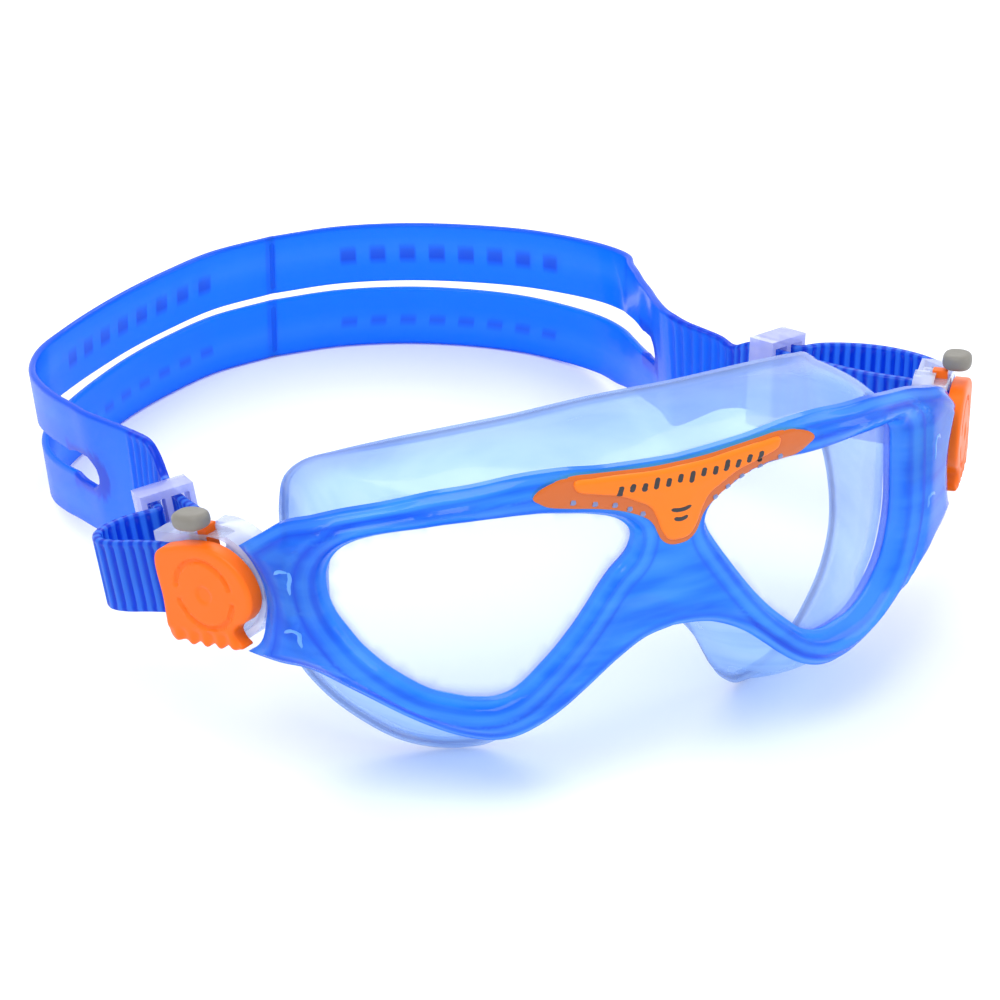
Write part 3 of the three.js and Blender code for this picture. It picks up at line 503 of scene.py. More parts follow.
def half_outline(side):
    q = BUCKLE[side]
    y, t = math.radians(q["yaw"]), math.radians(q["tilt"])
    xs = np.linspace(54, 76, 300)
    fx = FR[:, 0] if side > 0 else -FR[::-1, 0]
    fy = FR[:, 1] if side > 0 else FR[::-1, 1]
    px, py = np.interp(xs, fx, fx), np.interp(xs, fx, fy)
    h = (px - q["at"][0]) * math.cos(y) + (py - q["at"][1]) * math.sin(y)
    arc = []
    for th in np.radians(np.linspace(131, 250, 26)):
        r = 11.15 + 1.1 * sstep(np.degrees(th), 205, 235)
        a, b = r * math.cos(th), r * math.sin(th)
        hh = a * math.cos(t) + b * math.sin(t)
        z = q["at"][2] - a * math.sin(t) + b * math.cos(t)
        arc.append([float(np.interp(hh, h, xs)), z])
    w = (lambda x: x + 4.1 * float(flex(x))) if side > 0 else (lambda x: x)
    top = [[0, 15.6], [8, 16], [14, 16.4], [21.3, 17.2], [28.9, 16.9], [35.9, 15.4], [42.6, 13.9], [48.8, 11.6], [54.6, 9.4], [59.6, 7.0], [63.2, 4.9]]
    if side > 0:
        low = [[60, -26.8], [53.6, -30.8], [47.2, -33.3], [42, -34.4], [37.3, -35.0], [33.7, -34.8], [29.8, -33.6], [25.7, -31.4], [22.2, -28.7], [18, -24.9], [14.4, -21.8], [10.2, -19.2], [6.8, -17.8], [3, -17.1], [0, -16.9]]
    else:
        low = [[59.9, -21.2], [53.3, -24.9], [46.8, -28.7], [43.4, -30.4], [39.9, -31.9], [36.4, -33.0], [32.7, -33.6], [28.9, -33.2], [24.9, -31.6], [20.7, -29.1], [15.6, -25.2], [10.4, -21.1], [5.2, -18.0], [0, -16.9]]
    if side < 0:
        top = top[:-3] + [[54.6, 9.7], [59.6, 7.9], [63.2, 6.4]]
    top = [[w(p[0]), p[1]] for p in top]
    low = [[w(p[0]), p[1]] for p in low]
    A = spline(top + [[top[-1][0] * 0.35 + arc[0][0] * 0.65, top[-1][1] * 0.42 + arc[0][1] * 0.58]] + [arc[0]], 110)
    Bz = spline([arc[-1]] + [[low[0][0] * 0.45 + arc[-1][0] * 0.55, low[0][1] * 0.4 + arc[-1][1] * 0.6]] + low, 120)
    return np.vstack([A, np.array(arc)[1:-1], Bz])


HL, HR = half_outline(1), half_outline(-1)
OUT = np.vstack([HL, (HR * [-1, 1])[::-1][1:-1]])
PAD = [[0, 14.6], [5, 14.7], [10.5, 15.1], [15.5, 15.4], [19.3, 15.4], [19.0, 13.6], [15.3, 12.3], [11, 11.1], [8, 9.5], [5.7, 8], [4.4, 5.7], [3.4, 3], [2.4, 1.4], [1.6, 0.8], [0, 0.6]]
PLATE = [[0, 15.1], [5, 15.2], [10.5, 15.6], [15.5, 16.0], [19.5, 16.3], [23, 15.8], [25.8, 14.5], [26.5, 13.4], [25.2, 12.2], [23.8, 11.3], [20, 10.4], [15.3, 9.5], [11, 8.3], [8, 7], [5.8, 5.6], [4.7, 4.2], [4.2, 3], [3.3, 1.2], [1.8, 0], [0, -0.3]]


def whole(P):
    return P + [[-p[0], p[1]] for p in P[-2:0:-1]]


def front_depth(P2, s, t):
    m = np.minimum(s, t)
    side = sstep(np.abs(P2[:, 0]), 22, 40)
    ear = sstep(np.abs(P2[:, 0]), 57, 66)
    d = 2.3 * (1 - sstep(s, 0.0, 1.5)) ** 1.2
    d += 1.1 * (1 - sstep(t, 0.0, 1.3))
    d -= (0.35 + 1.5 * side * (1 - ear)) * sstep(m, 0.3, 4.2)
    # a soft crease runs just inside the outer rim
    d += 0.35 * np.exp(-((t - 2.1) / 0.45) ** 2) * side * sstep(s, 1.5, 3)
    # step between the channel round the window and the temple
    d -= 0.55 * sstep(s, 4.8, 5.5) * sstep(np.abs(P2[:, 0]), 46, 54) * sstep(t, 0.8, 2.0)
    return d


WL, WR = WINDOW[1], (WINDOW[-1] * [-1, 1])[::-1]
V2, F2 = region(OUT, [WL, WR], 0.7, rings=(0.25, 0.6, 1.0, 1.4, 1.8, 2.3, 2.8, 3.4, 4.0, 4.6, 5.3))
s_ = np.minimum(dist_line(V2, WL), dist_line(V2, WR))
t_ = dist_line(V2, OUT)
fd = front_depth(V2, s_, t_)
bd = 2.4 + 2.4 * sstep(t_, 1.4, 2.6)
bd = np.where(s_ < 1.3, 2.5, bd)
bd = np.maximum(bd, fd + 0.3)
# painted highlights: a pale lip along each window, a pale band inside it and a highlight streak along the outer rim;
# painted shade: dark lines round the windows and inside the outer rim, darker towards the temples
lip = 1 - sstep(s_, 0.5, 1.2)
highlight_band = 0.62 * np.exp(-((s_ - 2.6) / 0.75) ** 2) + 0.55 * np.exp(-((s_ - 5.0) / 0.5) ** 2) * sstep(np.abs(V2[:, 0]), 8, 20)
painted_light_streak = 0.85 * np.exp(-((t_ - 0.8) / 0.4) ** 2)
deep = np.clip(0.75 * np.exp(-((s_ - 1.6) / 0.3) ** 2) + 0.7 * np.exp(-((s_ - 3.9) / 0.42) ** 2) + 0.65 * np.exp(-((t_ - 1.9) / 0.5) ** 2) * sstep(s_, 2.0, 3.0) + 0.38 * sstep(np.abs(V2[:, 0]), 52, 60) * (1 - lip), 0, 1)
o = solid("frame_moulding", F2, on(V2, fd), on(V2, bd), M["frame"], attrs={"lip": np.clip(0.7 * lip + highlight_band + painted_light_streak, 0, 1), "deep": deep, "solidity": 0.25 * deep})
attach(o, "mask"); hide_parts("front_frame")
FRAME_V2, FRAME_D = V2, fd


def depth_at(P2):
    s = np.minimum(dist_line(P2, WL), dist_line(P2, WR))
    return front_depth(P2, s, dist_line(P2, OUT))


# raised clear beads moulded into the frame below and beside the windows
def bead(name, pts, w, mat, body, h=0.35, base=None):
    line = spline(pts, max(6, int(len(pts) * 6)))
    n = len(line)
    tg = np.gradient(line, axis=0)
    tg /= np.linalg.norm(tg, axis=1)[:, None]
    nn = np.stack([-tg[:, 1], tg[:, 0]], 1)
    m = 7
    V, F = [], []
    end = np.minimum(np.arange(n), np.arange(n)[::-1]) / (n / 5.0)
    wid = w * np.sqrt(np.clip(1 - (1 - np.clip(end, 0, 1)) ** 2, 0.02, 1))
    for j in range(m):
        v = -1 + 2 * j / (m - 1)
        P = line + nn * (wid * v)[:, None]
        d = (depth_at(P) if base is None else base(P)) - h * math.sqrt(max(0, 1 - v * v)) + 0.03
        V.append(on(P, d))
    V = np.stack(V, 1).reshape(-1, 3)
    for i in range(n - 1):
        for j in range(m - 1):
            a = i * m + j
            F.append((a, a + 1, a + m + 1, a + m))
    o = obj_from(name, V, F, mat, angle=0)
    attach(o, body)
    return o


# small moulded hooks at the temples
for sgn, word, xo in ((1, "left", -2.6), (-1, "right", 0.0)):
    for nm, pts in (("upper", [[-63.7, -2.6], [-63.0, -1.7], [-62.1, -1.8], [-61.8, -2.8], [-62.0, -4.6], [-61.8, -6.0]]), ("lower", [[-62.6, -13.4], [-61.6, -12.6], [-60.6, -13.0], [-60.5, -14.4], [-60.2, -15.4]])):
        bead("clip_mark_%s_%s" % (word, nm), [[-sgn * (q[0] - sgn * 0.0) + xo, q[1]] for q in pts], 0.32, M["clip"], "mask", h=0.16)

# ------------------------------------------------------------------ lenses
for sgn, word in ((1, "left"), (-1, "right")):
    w = offset_in(WINDOW[sgn], -0.9) * ([sgn, 1])
    if sgn < 0:
        w = w[::-1]
    Vl, Fl = region(w, [], 1.6, rings=(0.4, 0.9))
    e = dist_line(Vl, w)
    dome = -0.5 * sstep(e, 0.5, 12)
    d0 = 2.75 + 0.5 * (1 - sstep(e, 0.0, 1.0)) + dome
    o = solid(word + "_lens_clear", Fl, on(Vl, d0), on(Vl, np.maximum(d0 + 0.4, 4.1 + dome)), M["lens"], attrs={"rim": 1 - sstep(e, 0.7, 1.2), "solidity": 0.2 * (1 - sstep(e, 0.6, 1.1))})
    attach(o, "mask"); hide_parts(word + "_lens")

# ------------------------------------------------------------------ bridge badge
plate2 = spline(whole(PLATE), 220, True)
pad2 = spline(whole(PAD), 220, True)
Vp, Fp = region(plate2, [], 0.7, rings=(0.2, 0.5))
e = dist_line(Vp, plate2)
dp = depth_at(Vp) - 0.10 * sstep(e, 0, 0.4) + 0.02
o = solid("badge_border", Fp, on(Vp, dp), on(Vp, dp + 0.8), M["under"])
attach(o, "mask"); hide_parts("bridge_badge")
Vp, Fp = region(pad2, [], 0.6, rings=(0.12, 0.3, 0.55, 0.9))
e = dist_line(Vp, pad2)


def pad_depth(P2):
    e = dist_line(P2, pad2)
    return 0.0 - 0.85 * np.sqrt(np.clip(1 - (1 - np.clip(e / 0.7, 0, 1)) ** 2, 0, 1)) - 0.25 * sstep(e, 0.7, 4.0)


dp = pad_depth(Vp)
o = solid("badge_pad", Fp, on(Vp, dp), on(Vp, np.full(len(Vp), 0.9)), M["badge"])
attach(o, "mask"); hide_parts("bridge_badge")

# plain printed dashes on the pad, in place of lettering
marks = []
for i in range(13):
    x = -11.2 + i * 2.2
    zc = 12.35 + 0.045 * max(0, x) - 0.0 * x + (0.25 if i % 2 else -0.05)
    hgt = 0.75 if i % 3 else 1.05
    marks.append([[x - 0.25, zc - hgt], [x - 0.05, zc - 0.2], [x + 0.05, zc + 0.2], [x + 0.25, zc + hgt]])
for i, pts in enumerate(marks):
    if np.abs(pts[0][0]) < 15.6:
        bead("pad_dash_%02d" % i, pts, 0.62, M["ink"], "mask", h=0.06, base=pad_depth)
bead("pad_bar_low", [[-1.3, 5.2], [-0.4, 4.9], [0.4, 4.9], [1.3, 5.2]], 0.5, M["ink"], "mask", h=0.06, base=pad_depth)
bead("pad_bar_high", [[-1.9, 7.0], [-0.6, 6.7], [0.6, 6.7], [1.9, 7.0]], 0.5, M["ink"], "mask", h=0.06, base=pad_depth)
# small clear rivet dots in the border under the pad
for sgn in (1, -1):
    for i, (x, z) in enumerate([(19.5, 11.6), (15.6, 10.6), (12.0, 9.7), (9.3, 8.4), (6.9, 7.0)]):
        bead("border_dot_%s%d" % ("lr"[sgn < 0], i), [[sgn * (x - 0.45), z - 0.1], [sgn * x, z], [sgn * (x + 0.45), z + 0.1]], 0.5, M["dots"], "mask", h=0.25, base=lambda P: depth_at(P) - 0.1)

# ------------------------------------------------------------------ face skirt
SF = [[0, 14.6], [8, 14.9], [14, 15.3], [21, 16.0], [29, 15.7], [36, 14.2], [42.5, 12.6], [48.0, 10.6], [52, 8.2], [54.4, 4.0], [54.9, -3], [54.9, -10], [54.6, -16.5], [52.6, -21.6], [49.4, -24.8], [45.6, -27.6], [41.3, -29.9], [37, -31.1], [33.5, -31.4], [29.8, -30.9], [26, -29.6], [22.6, -27.2], [18.8, -23.8], [15, -20.6], [10.6, -18.1], [6.8, -16.6], [3, -16.0], [0, -15.9]]
SR = [[0, 35.5, 10.9], [8, 35.2, 10.9], [15, 35.2, 10.7], [22, 36.0, 10.3], [30, 37.8, 9.4], [37, 40.6, 8.0], [43.5, 44, 6.2], [48.6, 47.4, 4.0], [51.4, 48.8, 1.0], [52.4, 48.6, -4], [52.8, 47.4, -10], [54.4, 45.8, -17], [54.6, 43.6, -24], [53.2, 41.0, -30.4], [49.6, 37.6, -36.2], [44.4, 34.2, -41.2], [38.8, 31.0, -44.8], [33.0, 28.4, -46.5], [28.4, 26.8, -46.8], [24.6, 25.0, -46.0], [20.8, 22.8, -43.0], [17, 19.4, -38.4], [14, 17.6, -33.2], [11.2, 16.0, -28.2], [8.2, 14.8, -24], [5.4, 14.2, -20.8], [2.6, 14.6, -19.2], [0, 14.8, -18.7]]


def station(side, f, r):
    low = float(sstep(-f[1], 14, 26))
    f = [f[0] + (3.4 * float(sstep(f[0], 44, 53)) * float(sstep(-f[1], -9, 1)) if side < 0 else 0.0), f[1] - (2.6 * low if side > 0 else 0.6 * low) * float(sstep(f[0], 22, 34))]
    k = float(sstep(f[0], 43.5, 48.5))
    d = 2.4 + 2.6 * k + 0.35
    c = (min(f[0], 30), -6)
    ax, ay = on_front(side * f[0], d)
    A = np.array([side * float(ax), float(ay), f[1]])
    B = np.array(r, float)
    dr = (B - A) / np.linalg.norm(B - A)
    inw = np.array([0, 0, -1.0 if f[1] > 0 else 1.0]) if f[0] < 6 else np.array([c[0] - r[0], 0, c[1] - r[2]])
    inw = inw - dr * inw.dot(dr)
    inw /= np.linalg.norm(inw)
    return np.r_[A, B, inw]


st = np.array([station(1, f, r) for f, r in zip(SF, SR)])
mir = np.array([station(-1, f, r) for f, r in zip(SF, SR)])[1:-1][::-1] * np.array([-1, 1, 1, -1, 1, 1, -1, 1, 1])
ST = spline(np.vstack([st, mir]), 260, True)
A_, B_, I_ = ST[:, :3], ST[:, 3:6], ST[:, 6:]
I_ = I_ / np.linalg.norm(I_, axis=1)[:, None]
D_ = B_ - A_
Dn = D_ / np.linalg.norm(D_, axis=1)[:, None]
prof = []
ts = np.r_[np.linspace(0, 0.972, 15), 0.984, 0.993]
cols, att = [], []
for t in ts:
    bulge = -1.5 * 4 * t * (1 - t) * 0.9 - 1.0 * sstep(t, 0.8, 1.0) * (1 - sstep(t, 0.97, 1.0))
    cols.append(A_ + D_ * t + I_ * bulge)
    att.append((sstep(t, 0.980, 0.993), 0.55 * sstep(t, 0.45, 0.9)))
cols.append(B_ + Dn * 0.25 + I_ * 0.15); att.append((1, 0.4))
cols.append(B_ + Dn * 0.25 + I_ * 0.75); att.append((0.25, 0.4))
cols.append(B_ + I_ * 1.0); att.append((0.1, 0.4))
for t in ts[::-1][1:]:
    bulge = -1.5 * 4 * t * (1 - t) * 0.9 - 1.0 * sstep(t, 0.8, 1.0) * (1 - sstep(t, 0.97, 1.0))
    cols.append(A_ + D_ * t + I_ * (bulge + 1.3))
    att.append((0, 0.25 * sstep(t, 0.45, 0.9)))
V = np.stack(cols, 1)
n, m = V.shape[:2]
F = []
for i in range(n):
    for j in range(m):
        a, b = i * m + j, ((i + 1) % n) * m + j
        a2, b2 = i * m + (j + 1) % m, ((i + 1) % n) * m + (j + 1) % m
        F.append((a, b, b2, a2))
xa = np.abs(ST[:, 3])
# painted shade on the skirt: darker towards the rear rim and at the upper outer corners, a little on the inner wall
corner = np.exp(-((xa - 46) / 9.0) ** 2) * (ST[:, 5] > -6)
rim = np.tile([a[0] for a in att], n)
skirt_shade = np.array([[a[1] * (0.35 + 0.65 * c) for a in att] for c in corner]).ravel()
sol = np.array([[0.7 * a[0] + 0.2 * a[1] * c for a in att] for c in corner]).ravel()
o = obj_from("skirt_silicone", V.reshape(-1, 3), F, M["skirt"], angle=0, weld=1e-7, attrs={"rim": rim, "deep": skirt_shade, "solidity": sol})
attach(o, "mask"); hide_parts("face_skirt")

# ------------------------------------------------------------------ strap
S = [[66.9, 104, -8.3, -35.4, 2.2, 0], [67.3, 110, -9.4, -36.9, 2.3, 1.9], [67.8, 118, -11, -38.6, 2.3, 2.6], [67.8, 126, -12.6, -40.7, 2.1, 2.7], [67.0, 134, -14.2, -42.6, 1.7, 2.4],
     [64.6, 142, -15.9, -44.4, 1.3, 2.0], [60.4, 150, -17.4, -46.1, 0.9, 1.7], [54.0, 157.4, -18.6, -47.1, 0.5, 1.4], [45.6, 164.6, -19.2, -47.5, 0.2, 1.1], [36.0, 171.4, -19.7, -47.5, 0, 0.9],
     [25.4, 177.2, -20.0, -47.5, 0, 0.8], [13.6, 182.0, -20.1, -47.5, 0, 0.8], [0, 183.9, -20.2, -47.5, 0, 0.8]]
S0 = [[63.0, 79.6, -10.4, -24.4, 0.0, 0], [63.1, 81.8, -8.0, -26.8, 0.2, 0], [63.4, 84.4, -6.2, -29.2, 0.5, 0], [64.4, 90, -6.2, -31.6, 1.2, 0], [65.6, 97, -7.2, -33.6, 1.8, 0]]
L = [[52.8, 80.6, -9.7, -23.2, 0, 0], [51.8, 84.0, -9.2, -25.0, 0, 0], [49.8, 87.2, -8.5, -27.6, -0.3, 0], [48.0, 90.4, -7.9, -30.2, -0.7, 0],
     [47.2, 94.6, -7.5, -32.6, -1.1, 0], [49.2, 102.4, -8.9, -35.0, -1.5, 0], [51.8, 110.6, -10.7, -37.4, -1.5, 1.5], [53.4, 117.6, -12.0, -39.4, -1.2, 2.5], [55.0, 124, -13.1, -41.2, -0.8, 2.7], [56.6, 130.6, -14.5, -43.0, -0.3, 2.4],
     [58.0, 137, -15.8, -44.8, 0.7, 2.0], [57.8, 146, -17.6, -46.4, 0.5, 1.7], [54.4, 155, -18.8, -47.3, 0.3, 1.4], [48.0, 163.6, -19.4, -47.5, 0.1, 1.1], [39.0, 171.2, -19.8, -47.5, 0, 0.9],
     [27.8, 177.8, -20.0, -47.5, 0, 0.8], [14.4, 182.4, -20.1, -47.5, 0, 0.8], [0, 183.9, -20.2, -47.5, 0, 0.8]]
TIP = {1: 107.0, -1: 102.5}


def tail_line(side):
    q = BUCKLE[side]
    c, s = math.cos(math.radians(q["turn"])), math.sin(math.radians(q["turn"]))
    k = lambda al, ou: [q["keeper"][0] + c * al + s * ou, q["keeper"][1] + s * al - c * ou]
    R = [7.0, 5.5]
    r = 1.3 + 0.3 + 0.75
    wrap = lambda fr: [[R[0] + r * math.cos(math.radians(fr + (270 - fr) * i / 8)), R[1] + r * math.sin(math.radians(fr + (270 - fr) * i / 8))] for i in range(9)]
    if side > 0:
        run = [[12.6, 27.6], [9.4, 20.4], [7.9, 14.2], [7.3, 10.6]] + wrap(145) + [[10, 3.15], [14.2, 3.4], [18.2, 5.4], [21.6, 8.8], [24.2, 13.2], [25.7, 18.4], [25.4, 24.0], [23.8, 28.8], k(-3, 2.3)]
    else:
        run = [[16.4, 17.1], [10.6, 12.0]] + wrap(132) + [[10, 3.15], [13.5, 3.05], [18, 2.3], [22.4, 1.3], [26, 1.6], [28.8, 4.2], [29.3, 7.8], [28.2, 11.3], [26.2, 14.0], [25.0, 15.8], k(-3.0, 2.3)]
    return [k(4.5, -2.3), k(0, -2.3), k(-4, -2.3)] + run + [k(1.5, 2.3), k(6.0, 2.3)]


def strap_half(side, word):
    stn = (L if side > 0 else S0 + S)[::-1]
    P = np.array([[p[0], p[1]] for p in stn])
    tg = np.gradient(P, axis=0)
    tg[0] = [1, 0]
    tg /= np.linalg.norm(tg, axis=1)[:, None]
    nn = np.stack([-tg[:, 1], tg[:, 0]], 1)       # left of travel
    nn = nn * np.sign((nn * (P - [0, 90])).sum(1))[:, None]
    T, Bt, sl = [], [], []
    for p, n_ in zip(stn, nn):
        T.append([side * (p[0] + n_[0] * p[4]), p[1] + n_[1] * p[4], p[2]])
        Bt.append([side * (p[0] - n_[0] * p[4]), p[1] - n_[1] * p[4], p[3]])
        sl.append(p[5])
    tl = np.array(tail_line(side))
    for pt in tl:
        T.append(buckle(side, [[pt[0], pt[1], 6.7]])[0]); Bt.append(buckle(side, [[pt[0], pt[1], -6.7]])[0]); sl.append(0)
    Q = spline(np.hstack([T, Bt, np.array(sl)[:, None]]), 1400)
    T, Bt, sl = Q[:, :3], Q[:, 3:6], Q[:, 6]
    C = (T + Bt) / 2
    u = np.r_[0, np.cumsum(np.linalg.norm(np.diff(C, axis=0), axis=1))]
    n = int(u[-1] / 0.34)
    U = np.linspace(0, u[-1], n)
    T = np.stack([np.interp(U, u, T[:, k]) for k in range(3)], 1)
    Bt = np.stack([np.interp(U, u, Bt[:, k]) for k in range(3)], 1)
    sl = np.interp(U, u, sl)
    C = (T + Bt) / 2
    W = np.linalg.norm(T - Bt, axis=1)
    up = (T - Bt) / W[:, None]
    tg = np.gradient(C, axis=0)
    tg /= np.linalg.norm(tg, axis=1)[:, None]
    out = np.cross(tg, up)
    out /= np.linalg.norm(out, axis=1)[:, None]
    if out[0, 1] < 0:
        out = -out
    # where along the strip things are
    y = C[:, 1]
    body = np.arange(n) < np.argmin(np.where(np.arange(n) < n * 0.75, np.abs(y - 79), 1e9))
    iy = lambda val: int(np.argmin(np.where(body, np.abs(y - val), 1e9)))
    utip, urib = U[iy(TIP[side])], U[iy(94.5 if side > 0 else 90.5)]
    ukeep = U[iy(79)]
    sl = np.where(U < utip, np.maximum(np.maximum(sl, 0.8), (3.3 if side < 0 else 2.7) * sstep(U, utip - 22, utip - 8)) * np.sqrt(np.clip((utip - U) / 3.6, 0, 1)), 0)
    inner_e = np.array([0, .08, .25, .55, .9])
    V, att_shade, att_m, att_highlight, ids = [], [], [], [], []
    half = W / 2
    band = sstep(utip - U, 0, 14)
    ribs = sstep(U, urib, urib + 1.0) * (1 - sstep(U, U[-1] - 3.0, U[-1] - 2.0))
    pitch = 2.05
    ph = ((U - urib) / pitch) % 1.0
    tooth = sstep(ph, 0.0, 0.22) * (1 - sstep(ph, 0.52, 0.74))
    rows = []
    for up_side in (1, -1):
        for kk in range(16):
            if kk < 5:
                w = half - inner_e[kk]; e = np.full(n, inner_e[kk]); es = w - sl
            elif kk >= 11:
                w = sl + inner_e[15 - kk]; es = np.full(n, inner_e[15 - kk]); e = half - w
            else:
                f = (kk - 4) / 7.0
                w = (half - 0.9) * (1 - f) + (sl + 0.9) * f; e = half - w; es = w - sl
            rows.append((up_side, w * up_side, e, es))
    th0 = 0.75 + 0.1 * ribs
    endcap = np.sqrt(np.clip(1 - (1 - np.clip((U[-1] - U) / 0.7, 0, 1)) ** 2, 0.05, 1))
    for face in (1, -1):
        for up_side, w, e, es in rows:
            r1 = np.sqrt(np.clip(1 - (1 - np.clip(e / 0.55, 0, 1)) ** 2, 0, 1))
            sf = sstep(sl, 0.02, 0.35)
            r2 = 1 - sf * (1 - np.sqrt(np.clip(1 - (1 - np.clip(es / 0.55, 0, 1)) ** 2, 0, 1)))
            th = th0 * (0.12 + 0.88 * r1) * (0.12 + 0.88 * r2) * endcap
            v = np.abs(w)
            mid = (1 - sstep(v, half - 1.3, half - 0.7))
            th = th - 0.38 * ribs * (1 - tooth) * mid
            # shallow groove along the bands' edges; the hollow round the slot's end is computed but switched off
            hol = sstep(np.hypot(np.maximum(0, utip - U - 9) * 0.55 + np.maximum(0, U - utip), v), 3.6, 4.4)
            tipzone = (1 - hol) * sstep(U, utip - 16, utip - 13) * (1 - sstep(U, utip + 4.4, utip + 5.2)) * sstep(es, 1.6, 2.2) * 0
            edge_line = np.exp(-((e - 1.5) / 0.28) ** 2) * sstep(utip - U, -6, 4)
            th = th - 0.18 * edge_line * (face > 0)
            # dashes moulded on the rear bands, in place of lettering
            bandmid = sl + (half - sl) * 0.52
            pos = U - 14.0
            cell = (pos / 6.2) % 1.0
            dash = sstep(cell, 0.12, 0.18) * (1 - sstep(cell, 0.66, 0.72)) * (pos > 0) * (pos < 49.6)
            hh = (2.5 if up_side > 0 else 1.5)
            slant = 0
            mk = dash * (1 - sstep(np.abs(v - bandmid + slant), hh * 0.5, hh * 0.5 + 0.25))
            th = th + 0.12 * mk * (face > 0)
            P = C + up * w[:, None] + out * (th * face)[:, None]
            V.append(P)
            u_shape = np.exp(-((np.hypot(np.maximum(0, utip - 10 - U) * 0.0 + np.maximum(0, U - utip + 1.5), v) - 5.2) / 0.9) ** 2) * (U > utip - 12) * (U < utip + 8)
            ring = sstep(U, utip - 14, utip - 12) * (1 - sstep(U, utip + 4.5, utip + 5.5)) * (1 - sstep(np.hypot(np.maximum(0, U - utip + 1.0), v), 4.6, 5.4))
            # painted shade: darker in the rib grooves, round the slot's end, along the edges and beyond the keeper;
            # painted highlight on the rib tops and a pale stripe along the band
            att_shade.append(np.clip(0.55 * ribs * (1 - 0.6 * tooth) + 0.85 * ring * (U < urib) + 0.6 * (1 - sstep(e, 0.15, 0.8)) + 0.5 * sstep(U, ukeep - 4, ukeep), 0, 1))
            att_m.append(0.85 * mk)
            att_highlight.append(np.clip(0.8 * ribs * tooth * (U > ukeep) * 0.7 + 0.35 * np.exp(-((v - bandmid - 1.0) / 2.2) ** 2) * band, 0, 1))
    V = np.stack(V, 0)
    K = len(rows)
    idx = np.arange(2 * K * n).reshape(2 * K, n)
    F = []
    for face in (0, 1):
        for k in range(K - 1):
            if k == 15:
                continue
            a, b = idx[face * K + k], idx[face * K + k + 1]
            for i in range(n - 1):
                F.append((a[i], a[i + 1], b[i + 1], b[i]) if face == 0 else (a[i], b[i], b[i + 1], a[i + 1]))
    for k in (0, 15, 16, 31):
        a, b = idx[k], idx[K + k]
        for i in range(n - 1):
            if k in (15, 31) and sl[i] < 1e-6 and sl[i + 1] < 1e-6:
                continue
            F.append((a[i], a[i + 1], b[i + 1], b[i]))
    for k in range(K - 1):
        if k != 15:
            F.append((idx[k][-1], idx[k + 1][-1], idx[K + k + 1][-1], idx[K + k][-1]))
            F.append((idx[k][0], idx[k + 1][0], idx[K + k + 1][0], idx[K + k][0]))
    # rows 15 and 31 meet on the middle line beyond the slot
    o = obj_from(word + "_strap", V.reshape(-1, 3), F, M["strap"], angle=42, weld=2e-5, attrs={"deep": np.concatenate(att_shade), "mark": np.concatenate(att_m), "pale": np.concatenate(att_highlight), "solidity": 0.35 * np.concatenate(att_shade)})
    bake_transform(o)
    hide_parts("head_strap", word + "_strap_tail")
    return o


for side, word in ((1, "left"), (-1, "right")):
    strap_half(side, word)
# moulded rib that hides the seam at the back
yy = np.linspace(0, 1, 2)
for z0, z1, nm in ((-33.0, -20.2, "upper"), (-47.5, -34.7, "lower")):
    ring = []
    for z in np.linspace(z0 + 0.1, z1 - 0.1, 9):
        e = min(z - z0, z1 - z)
        r = 0.95 * math.sqrt(max(0.05, 1 - max(0, 1 - e / 0.8) ** 2))
        ring.append([[1.1 * math.cos(a), 183.9 + r * math.sin(a), z] for a in np.linspace(0, 2 * math.pi, 16, endpoint=False)])
    V = np.array(ring).reshape(-1, 3)
    F = [(i * 16 + j, i * 16 + (j + 1) % 16, (i + 1) * 16 + (j + 1) % 16, (i + 1) * 16 + j) for i in range(8) for j in range(16)]
    F += [tuple(range(15, -1, -1)), tuple(range(128, 144))]
    o = obj_from("seam_rib_" + nm, V, F, M["strap"], angle=50, attrs={"deep": np.full(len(V), 0.3), "mark": np.zeros(len(V)), "pale": np.zeros(len(V)), "solidity": np.zeros(len(V))})
    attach(o, "mask")

# ------------------------------------------------------------------ buckles
COVER = [[10.6, 6.3], [6, 8.0], [1.5, 8.5], [-2.6, 8.2], [-6.2, 6.6], [-8.9, 3.8], [-10.0, 0.6], [-9.5, -2.5], [-7.6, -4.7], [-5.3, -5.9], [-4.1, -7.2], [-4.6, -8.8], [-5.6, -9.9], [-3.4, -10.5], [-1.6, -9.9], [-0.2, -10.6], [1.6, -9.9], [3.0, -10.6], [4.8, -9.9], [6.2, -10.5], [8.2, -9.8], [10.2, -10.1], [11.2, -9.2], [11.0, -2]]
cov2 = spline(COVER, 200, True)
Vc, Fc = region(cov2, [], 0.36, rings=(0.1, 0.25, 0.45))


def cover_height(P2):
    e = dist_line(P2, cov2)
    r = np.hypot(P2[:, 0] - 0.6, P2[:, 1] + 0.4)
    th = np.degrees(np.arctan2(P2[:, 1] + 0.4, P2[:, 0] - 0.6)) % 180
    h = 0.55 + 0.75 * np.sqrt(np.clip(1 - (1 - np.clip(e / 1.1, 0, 1)) ** 2, 0, 1))
    h -= 0.10 * sstep(r, 0, 9)
    gap = 1 - (1 - sstep(np.minimum(th, 180 - th), 9, 13))
    h -= 0.42 * sstep(r, 5.7, 6.0) * (1 - sstep(r, 6.5, 6.8)) * gap
    h -= 0.30 * (1 - sstep(r, 1.3, 1.9))
    # flutes of the gripping edge
    fl = (1 - sstep(P2[:, 1], -8.2, -6.9)) * sstep(P2[:, 0], -5.2, -4.4)
    h -= 0.38 * fl * (0.5 - 0.5 * np.cos((P2[:, 0] + 0.2 - 1.55) * 2 * math.pi / 3.15 + math.pi)) * 1.0
    # a plain wave across the middle is computed but not applied
    wv = np.abs(P2[:, 1] + 0.4 - 0.8 * np.sin(P2[:, 0] * 1.3))
    return h


